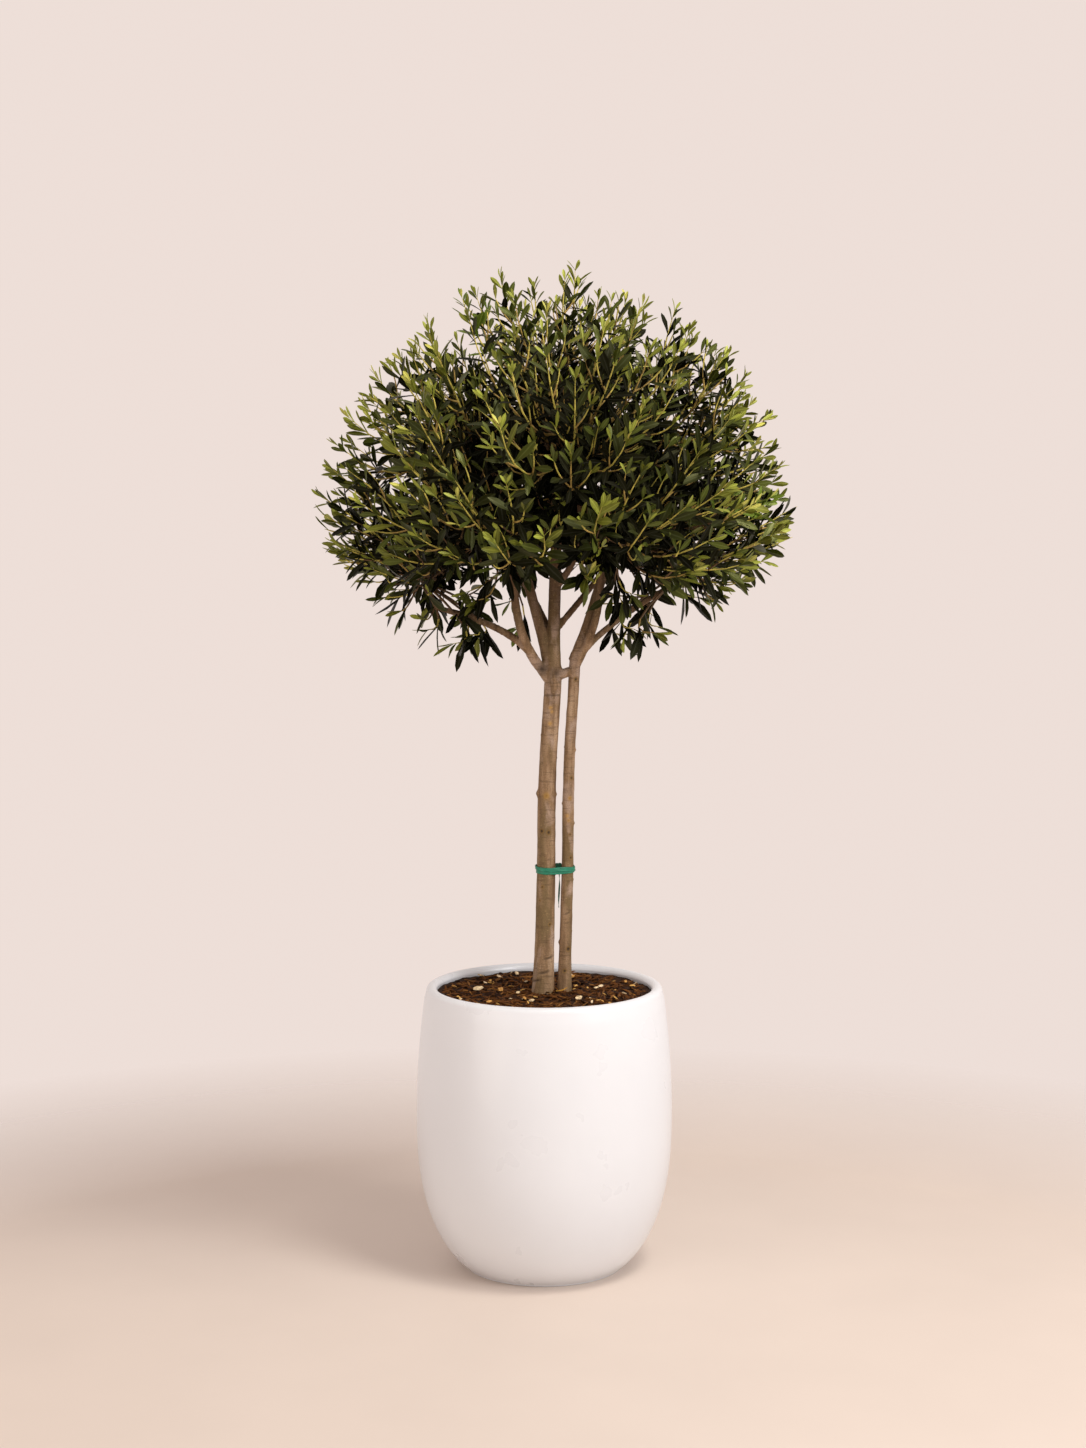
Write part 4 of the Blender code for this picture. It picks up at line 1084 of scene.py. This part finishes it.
# a closed thin leaf one unit long: foot at the origin, tip at +Z, face to +X; the stations are
# height and share of the width
def bladeMesh(name, arch, twist, stations):
    half = leaves["width"] / 2
    points = []
    for height, share in stations:
        backward = -arch * height ** 2
        turn = twist * height
        for side in (-1, 0, 1):
            across = side * share * half
            lift = leaves["fold"] * abs(across)
            points.append((backward + lift * math.cos(turn) - across * math.sin(turn),
                           across * math.cos(turn) + lift * math.sin(turn), height))
    tip = len(points)
    points.append((-arch, 0, 1.0))
    for index, (height, _) in enumerate(stations):  # the midrib's underside
        x, y, z = points[index * 3 + 1]
        points.append((x - leaves["ribDepth"] - leaves["ribFoot"] * (1 - height), y, z))
    under = list(range(tip + 1, len(points)))
    faces = []
    for row in range(len(stations) - 1):
        a, b = row * 3, row * 3 + 3
        faces += [(a, a + 1, b + 1, b), (a + 1, a + 2, b + 2, b + 1)]
        faces += [(under[row], a, b, under[row + 1]), (a + 2, under[row], under[row + 1], b + 2)]
    a = (len(stations) - 1) * 3
    faces += [(a, a + 1, tip), (a + 1, a + 2, tip), (under[-1], a, tip), (a + 2, under[-1], tip)]
    faces += [(0, under[0], 1), (1, under[0], 2)]
    mesh = meshFrom(points, faces)
    rib = mesh.attributes.new("rib", "FLOAT", "POINT")
    rib.data.foreach_set("value", [float(index % 3 == 1 or index >= tip) for index in range(len(points))])
    bm = bmesh.new()
    bm.from_mesh(mesh)
    bmesh.ops.recalc_face_normals(bm, faces=bm.faces)
    for edge in bm.edges:
        if len(edge.link_faces) == 2 and edge.calc_face_angle(0) > math.radians(leaves["edgeSharp"]):
            edge.smooth = False
    bm.to_mesh(mesh)
    bm.free()
    return sceneObject(name, mesh)


def pointCloud(name, entries):
    mesh = bpy.data.meshes.new(name)
    mesh.from_pydata([tuple(foot) for foot, *_ in entries], [], [])
    for label, column in (("axis", 1), ("face", 2)):
        attribute = mesh.attributes.new(label, "FLOAT_VECTOR", "POINT")
        attribute.data.foreach_set("vector", [v for entry in entries for v in entry[column]])
    size = mesh.attributes.new("size", "FLOAT", "POINT")
    size.data.foreach_set("value", [entry[3] for entry in entries])
    return sceneObject(name, mesh)


def leafMaterial(kind):
    colour, roughness, gloss = leafColours[kind]
    material, tree, shader = newMaterial(kind + " leaf", roughness, gloss, colour)
    shader.inputs["Specular Tint"].default_value = (*leafShades["shine"], 1)
    # the paler midrib is the leaf's own colour; the paler rims are a painted highlight along the edges
    pale = tuple(value * leafShades["pale"] + leafShades["paleLift"] for value in colour)
    tint = mottled(tree, colour, 26.0, leafShades["darkest"], leafShades["lightest"], detail=2)
    rib = addNode(tree, "ShaderNodeAttribute", "Fac", attribute_name="rib")
    veined = mixColour(tree, mapRange(tree, rib, 0.78, 0.98, 0.0, 0.75), tint, pale)
    paint(tree, shader, mixColour(tree, mapRange(tree, rib, 0.0, 0.22, 0.45, 0.0), veined, pale))
    return material


def twigMaterial(kind):
    material, tree, shader = newMaterial(kind + " twig", 0.65, colour=twigColours[kind])
    paint(tree, shader, mottled(tree, twigColours[kind], 55.0, 0.72, 1.25, detail=3),
          (noiseValue(tree, 300.0), 0.2, 0.0004))
    return material


def makeCrown():
    growth = growCrown()
    shapes = leaves["shapes"].items()
    plain, fine = ({label: bladeMesh(label, *bend, leaves[stations]) for label, bend in shapes}
                   for stations in ("plainStations", "stations"))
    leafTree = makeLeafTree()
    for number, (kind, entries) in enumerate(growth.leaves.items()):
        entries = withinReach(clearOfLimbs(entries))
        cloud = pointCloud("leaf feet", entries)
        blades = plain if kind in ("deep", "dark") else fine
        mesh = runTree(cloud, leafTree, {**blades, "Length": leaves["length"], "Twist": leaves["twist"],
                                         "Narrowest": leaves["narrowest"], "Broadest": leaves["broadest"],
                                         "Seed": number + 1})
        discard(cloud)
        addPiece("leaves_" + kind, mesh, leafMaterial(kind), "leaf", *foliageNodes)
        print("leaves", kind, len(entries), "leaves", triangleCount(mesh), "triangles")
    for kind, strands in growth.twigs.items():
        guide = curveObject("twig lines", strands)
        mesh = runTree(guide, tubeTree, {"Sides": twigSettings["sides"][kind]})
        discard(guide)
        addPiece("twigs_" + kind, mesh, twigMaterial(kind), "bark", *foliageNodes)
        print("twigs", kind, len(strands), "twigs", triangleCount(mesh), "triangles")
    discard(*plain.values(), *fine.values())


makeCrown()

# the potting mix: a dark uneven bed under shredded bark
mulch = {
    "bed": 0.0075,  # how far the bed's dips go down
    "rings": 34, "steps": 120, "gap": 0.0005, "belowRim": 0.006, "skirt": 0.03,
    "mound": 0.004, "moundReach": 0.03, "edgeRise": 0.002, "edgeRadius": 0.19,
    "chipReach": 0.181, "chipDepth": 0.015,  # chips lie no further out and no deeper
    "colour": (0.030, 0.011, 0.004), "grain": 120.0, "chipGrain": 160.0,
}
# chips: kind of chip, how many to the square metre, smallest and largest, tilt, lift, colour
chipKinds = {
    "dark": ("chip", 6500, 0.008, 0.020, 0.55, -0.0010, (0.022, 0.007, 0.002)),
    "brown": ("chip", 6500, 0.006, 0.018, 0.50, 0.0000, (0.076, 0.026, 0.005)),
    "russet": ("strip", 3400, 0.012, 0.032, 0.35, 0.0010, (0.120, 0.042, 0.008)),
    "tan": ("strip", 1500, 0.008, 0.024, 0.40, 0.0020, (0.200, 0.085, 0.020)),
    "gold": ("chip", 170, 0.007, 0.013, 0.50, 0.0030, (0.600, 0.350, 0.100)),
    "cream": ("chip", 150, 0.006, 0.011, 0.60, 0.0032, (0.740, 0.580, 0.370)),
}
chipShapes = {  # length, width, thickness and seed of each kind's two shapes
    "chip": ((1.0, 0.42, 0.16, 3), (1.0, 0.60, 0.20, 4)),
    "strip": ((1.0, 0.15, 0.09, 5), (1.0, 0.10, 0.08, 6)),
}
paleChips = {  # large chips that stand out: place, length and turn in degrees
    "cream": [
        (-0.117, 0.013, 0.017, 20), (-0.046, -0.022, 0.009, 60), (-0.022, -0.090, 0.010, 30),
        (0.060, -0.068, 0.014, 50), (0.092, 0.020, 0.008, 10), (-0.115, 0.130, 0.012, 160),
        (-0.050, 0.150, 0.012, 95), (0.140, -0.030, 0.009, 145),
    ],
    "ochre": [
        (-0.077, 0.003, 0.014, 75), (-0.160, 0.031, 0.010, 140), (-0.034, -0.072, 0.011, 100),
        (0.146, 0.075, 0.009, 80), (0.100, -0.095, 0.008, 120), (0.050, 0.120, 0.011, 35),
        (-0.095, -0.100, 0.010, 15),
    ],
}
paleChipSettings = {
    "colours": {"cream": (0.780, 0.600, 0.360), "ochre": (0.560, 0.290, 0.080)}, "grain": 240.0,
    "lift": 0.0035, "tilt": (12, -9), "stout": 1.5,
}
deadLeaf = {
    "place": (0.020, -0.027), "length": 0.026, "turn": -28, "tilt": 82, "lift": 0.0065,
    "arch": 0.25, "twist": 0.5, "colour": (0.520, 0.270, 0.045), "grain": 180.0,
}


def bedHeight(x, y):
    lump = noise.noise(Vector((x * 28, y * 28, 3))) * 0.5 + noise.noise(Vector((x * 75, y * 75, 7))) * 0.3
    fine = noise.noise(Vector((x * 190, y * 190, 1))) * 0.2
    stemsNear = min(math.hypot(x - stem["foot"].x, y - stem["foot"].y) for stem in stems.values())
    mound = mulch["mound"] * fade(stemsNear, mulch["moundReach"])
    edge = mulch["edgeRise"] * (math.hypot(x, y) / mulch["edgeRadius"]) ** 6
    return ground - mulch["bed"] * 0.35 + mulch["bed"] * (lump + fine) + mound + edge


def makeBed():
    radius = potRadius(ground) - pot["wall"] - mulch["gap"]
    steps = mulch["steps"]
    turns = [math.tau * step / steps for step in range(steps)]
    points = [(0, 0, bedHeight(0, 0))]
    for ring in range(1, mulch["rings"] + 1):
        for turn in turns:
            x, y = (radius * ring / mulch["rings"] * trig(turn) for trig in (math.cos, math.sin))
            points.append((x, y, min(bedHeight(x, y), pot["height"] - mulch["belowRim"])))
    foot = ground - mulch["skirt"]  # a skirt down the inside of the pot closes the bed
    points += [(radius * math.cos(turn), radius * math.sin(turn), foot) for turn in turns]
    points.append((0, 0, foot))
    faces = [(0, 1 + step, 1 + (step + 1) % steps) for step in range(steps)]
    for ring in range(mulch["rings"]):
        a, b = 1 + ring * steps, 1 + (ring + 1) * steps
        for step in range(steps):
            after = (step + 1) % steps
            faces.append((a + step, b + step, b + after, a + after))
    a, last = 1 + mulch["rings"] * steps, len(points) - 1
    faces += [(a + (step + 1) % steps, a + step, last) for step in range(steps)]
    return meshFrom(points, faces)


def chipMesh(name, length, width, thickness, seed):  # an uneven splinter of bark
    rng = random.Random(seed)
    bm = bmesh.new()
    bmesh.ops.create_cube(bm, size=1)
    bmesh.ops.subdivide_edges(bm, edges=bm.edges, cuts=1, use_grid_fill=True)
    for vertex in bm.verts:
        x, y, z = vertex.co
        taper = 1 - 0.55 * abs(x * 2) ** 2
        vertex.co = ((x + rng.uniform(-0.06, 0.06)) * length, (y * taper + rng.uniform(-0.10, 0.10)) * width,
                     (z * taper + 0.35 * x * x + rng.uniform(-0.12, 0.12)) * thickness)
    mesh = bpy.data.meshes.new(name)
    bm.to_mesh(mesh)
    bm.free()
    return sceneObject(name, mesh)


def mixMaterial(name, colour, scale):
    material, tree, shader = newMaterial(name, 0.85, 0.15, colour)
    stops = [(0.3, shaded(colour, 0.55)), (0.5, colour), (0.72, shaded(colour, 1.5))]
    paint(tree, shader, ramp(tree, noiseValue(tree, scale), stops),
          (noiseValue(tree, scale * 3), 0.5, 0.001))
    return material


def placing(place, angles, size):  # a matrix from a place, three angles in degrees and a size
    turned = Euler([math.radians(angle) for angle in angles]).to_matrix().to_4x4()
    return Matrix.Translation(place) @ turned @ Matrix.Diagonal((*size, 1))


def makePaleChips(shape):
    for kind, chips in paleChips.items():
        parts = []
        for x, y, length, turn in chips:
            height = max(bedHeight(x, y), ground) + paleChipSettings["lift"]
            stout = length * paleChipSettings["stout"]
            part = shape.copy()
            part.transform(placing((x, y, height), (*paleChipSettings["tilt"], turn), (length, stout, stout)))
            parts.append(part)
        colour = paleChipSettings["colours"][kind]
        material = mixMaterial(kind + " chips", colour, paleChipSettings["grain"])
        addPiece("chips_" + kind + "_large", joined(parts), material, "mix", "potting_mix")


def makeDeadLeaf():  # a fallen leaf, curled along its midrib
    blade = bladeMesh("dead leaf", deadLeaf["arch"], deadLeaf["twist"], leaves["plainStations"])
    mesh = blade.data.copy()
    discard(blade)
    mesh.transform(placing((*deadLeaf["place"], ground + deadLeaf["lift"]),
                           (0, deadLeaf["tilt"], deadLeaf["turn"]), [deadLeaf["length"]] * 3))
    material = mixMaterial("dead leaf", deadLeaf["colour"], deadLeaf["grain"])
    addPiece("dead_leaf", mesh, material, "mix", "potting_mix")


def chipGuide(bedMesh):  # the part of the bed on which chips lie
    guide = sceneObject("chip guide", bedMesh.copy())
    bm = bmesh.new()
    bm.from_mesh(guide.data)
    far = []
    for face in bm.faces:
        middle = face.calc_center_median()
        if middle.xy.length > mulch["chipReach"] or middle.z < ground - mulch["chipDepth"]:
            far.append(face)
    bmesh.ops.delete(bm, geom=far, context="FACES")
    bm.to_mesh(guide.data)
    bm.free()
    return guide


def makeMix():
    bedMesh = makeBed()
    material = mixMaterial("dark mix", mulch["colour"], mulch["grain"])
    addPiece("mix_bed", bedMesh, material, "mix", "potting_mix")
    guide = chipGuide(bedMesh)
    shapes = {kind: [chipMesh(kind, *sizes) for sizes in pair] for kind, pair in chipShapes.items()}
    scatterTree = makeScatterTree()
    for number, (kind, settings) in enumerate(chipKinds.items()):
        shape, density, smallest, largest, tilt, lift, colour = settings
        first, spare = shapes[shape]
        mesh = runTree(guide, scatterTree, {
            "Chip": first, "Spare Chip": spare, "Per Square Metre": float(density),
            "Smallest": smallest, "Largest": largest, "Tilt": tilt, "Lift": lift, "Seed": number + 20,
        })
        material = mixMaterial(kind + " chips", colour, mulch["chipGrain"])
        addPiece("chips_" + kind, mesh, material, "mix", "potting_mix")
        print("chips", kind, triangleCount(mesh), "triangles")
    makePaleChips(shapes["chip"][0].data)
    makeDeadLeaf()
    discard(guide, *shapes["chip"], *shapes["strip"])


makeMix()

# the tie: stretch tape round both stems, knotted behind
tie = {
    "height": 0.693, "width": 0.0112, "thick": 0.0011, "gap": 0.0006, "rows": 8, "arc": 22,
    "tilt": 5, "colour": (0.004, 0.215, 0.118), "straightSteps": 10, "longest": 0.008, "waist": 0.10,
}
tapeWraps = (  # inset, width, rise, slope, crinkle and phase
    (tie["gap"], tie["width"], 0.0, 0.0, 0.0005, 0.0),
    (tie["gap"] + tie["thick"] + 0.0002, tie["width"] * 0.55, 0.0022, -0.055, 0.0007, 1.7),
)
knot = {
    "behind": 0.0055, "rise": 0.003, "radius": 0.0017, "steps": 40, "sides": 10,
    "size": (0.0017, 0.0014, 0.0015), "endWidth": 0.0030, "endThick": 0.0007, "endSteps": 24,
    "ends": ((0.0006, 0.075, 0.8), (-0.0030, 0.027, 0.4)),  # lean, length and turns of each loose end
}


def stemAt(name, height):
    points, radii = limbLines[name]
    for low, high, lowRadius, highRadius in zip(points, points[1:], radii, radii[1:]):
        if low.z <= height <= high.z:
            share = (height - low.z) / (high.z - low.z)
            return low.lerp(high, share), lowRadius + (highRadius - lowRadius) * share
    return None


def beltLine(inset):  # the outline of a band stretched round both stems
    main, mainRadius = stemAt("stem_main", tie["height"])
    second, secondRadius = stemAt("stem_second", tie["height"])
    mainRadius += inset
    secondRadius += inset
    across = second - main
    base = math.atan2(across.y, across.x)
    wrap = math.acos((mainRadius - secondRadius) / across.length)
    outline = []
    ends = ((main, mainRadius, wrap, math.tau - wrap), (second, secondRadius, -wrap, wrap))
    for centre, radius, start, stop in ends:
        for step in range(tie["arc"] + 1):
            turn = base + start + (stop - start) * step / tie["arc"]
            x, y = centre.x + radius * math.cos(turn), centre.y + radius * math.sin(turn)
            outline.append(Vector((x, y, 0)))
    filled = []
    for first, second in zip(outline, outline[1:] + outline[:1]):
        steps = tie["straightSteps"] if (second - first).length > tie["longest"] else 1
        filled += [first.lerp(second, step / steps) for step in range(steps)]
    return filled


def tapeMaterial():
    material, tree, shader = newMaterial("green tape", 0.42)
    tint = mottled(tree, tie["colour"], 150.0, 0.62, 1.0, (0.32, 0.62), stretch=(1, 1, 4))
    paint(tree, shader, tint, (noiseValue(tree, 260.0, stretch=(1, 1, 5)), 0.3, 0.0008))
    return material


def tapeBand(inset, width, rise, slope, crinkle, phase):
    line = beltLine(inset)
    middle = sum(line, Vector()) / len(line)
    tilt = math.tan(math.radians(tie["tilt"]))
    rows = tie["rows"]
    points = []
    for index, corner in enumerate(line):
        turn = math.tau * index / len(line)
        outward = (corner - middle).normalized()
        centreHeight = tie["height"] + rise + (corner.y - middle.y) * tilt + slope * (corner.x - middle.x)
        narrow = width * (1 + tie["waist"] * math.sin(3 * turn + phase))
        for row in range(rows + 1):
            share = row / rows - 0.5
            pucker = crinkle * math.sin(5 * turn + phase + share * 4) * (0.4 + abs(share))
            points.append(corner + outward * max(0.0, pucker) + up * (centreHeight + narrow * share))
    faces = []
    count = len(line)
    for index in range(count):
        after = (index + 1) % count
        for row in range(rows):
            a, b = index * (rows + 1) + row, after * (rows + 1) + row
            faces.append((a, b, b + 1, a + 1))
    band = sceneObject("band", meshFrom(points, faces))
    solid = band.modifiers.new("thickness", "SOLIDIFY")
    solid.thickness = tie["thick"]
    solid.offset = 1
    mesh = evaluatedMesh(band)
    discard(band)
    return mesh


def ribbonMesh(line, width, thickness, turns):  # a narrow strip that twists as it runs
    points = []
    faces = []
    for index, point in enumerate(line):
        turn = turns * math.tau * index / (len(line) - 1)
        across = Vector((math.cos(turn), math.sin(turn), 0)) * width / 2
        through = Vector((-math.sin(turn), math.cos(turn), 0)) * thickness / 2
        points += [point + across + through, point - across + through,
                   point - across - through, point + across - through]
    for a in range(0, len(points) - 4, 4):
        for side in range(4):
            after = (side + 1) % 4
            faces.append((a + side, a + after, a + 4 + after, a + 4 + side))
    end = len(points) - 4
    faces += [(3, 2, 1, 0), (end, end + 1, end + 2, end + 3)]
    return meshFrom(points, faces, smooth=False)


def makeTie():
    material = tapeMaterial()
    addPiece("tie_tape", joined([tapeBand(*wrap) for wrap in tapeWraps]), material, "tape", "tie")
    main, mainRadius = stemAt("stem_main", tie["height"])
    second, secondRadius = stemAt("stem_second", tie["height"])
    gapMiddle = (main.x + mainRadius + second.x - secondRadius) / 2
    back = max(main.y + mainRadius, second.y + secondRadius) + knot["behind"]
    middle = Vector((gapMiddle, back, tie["height"] + knot["rise"]))
    width, depth, height = knot["size"]
    loops = []
    for step in range(knot["steps"] + 1):
        turn = math.tau * step / knot["steps"]
        loops.append(middle + Vector(((math.sin(turn) + 2 * math.sin(2 * turn)) * width,
                                      -math.sin(3 * turn) * depth,
                                      (math.cos(turn) - 2 * math.cos(2 * turn)) * height)))
    guide = curveObject("knot line", [(loops, [knot["radius"]] * len(loops))])
    parts = [runTree(guide, tubeTree, {"Sides": knot["sides"]})]
    discard(guide)
    for lean, length, turns in knot["ends"]:
        line = []
        for step in range(knot["endSteps"] + 1):
            share = step / knot["endSteps"]
            wave = lean * share * 3 + 0.0012 * math.sin(share * 5)
            line.append(middle + Vector((wave, 0.004 * share - 0.001, -length * share)))
        parts.append(ribbonMesh(line, knot["endWidth"], knot["endThick"], turns))
    addPiece("tie_knot_ends", joined(parts), material, "tape", "tie_knot")


makeTie()
print("tie")
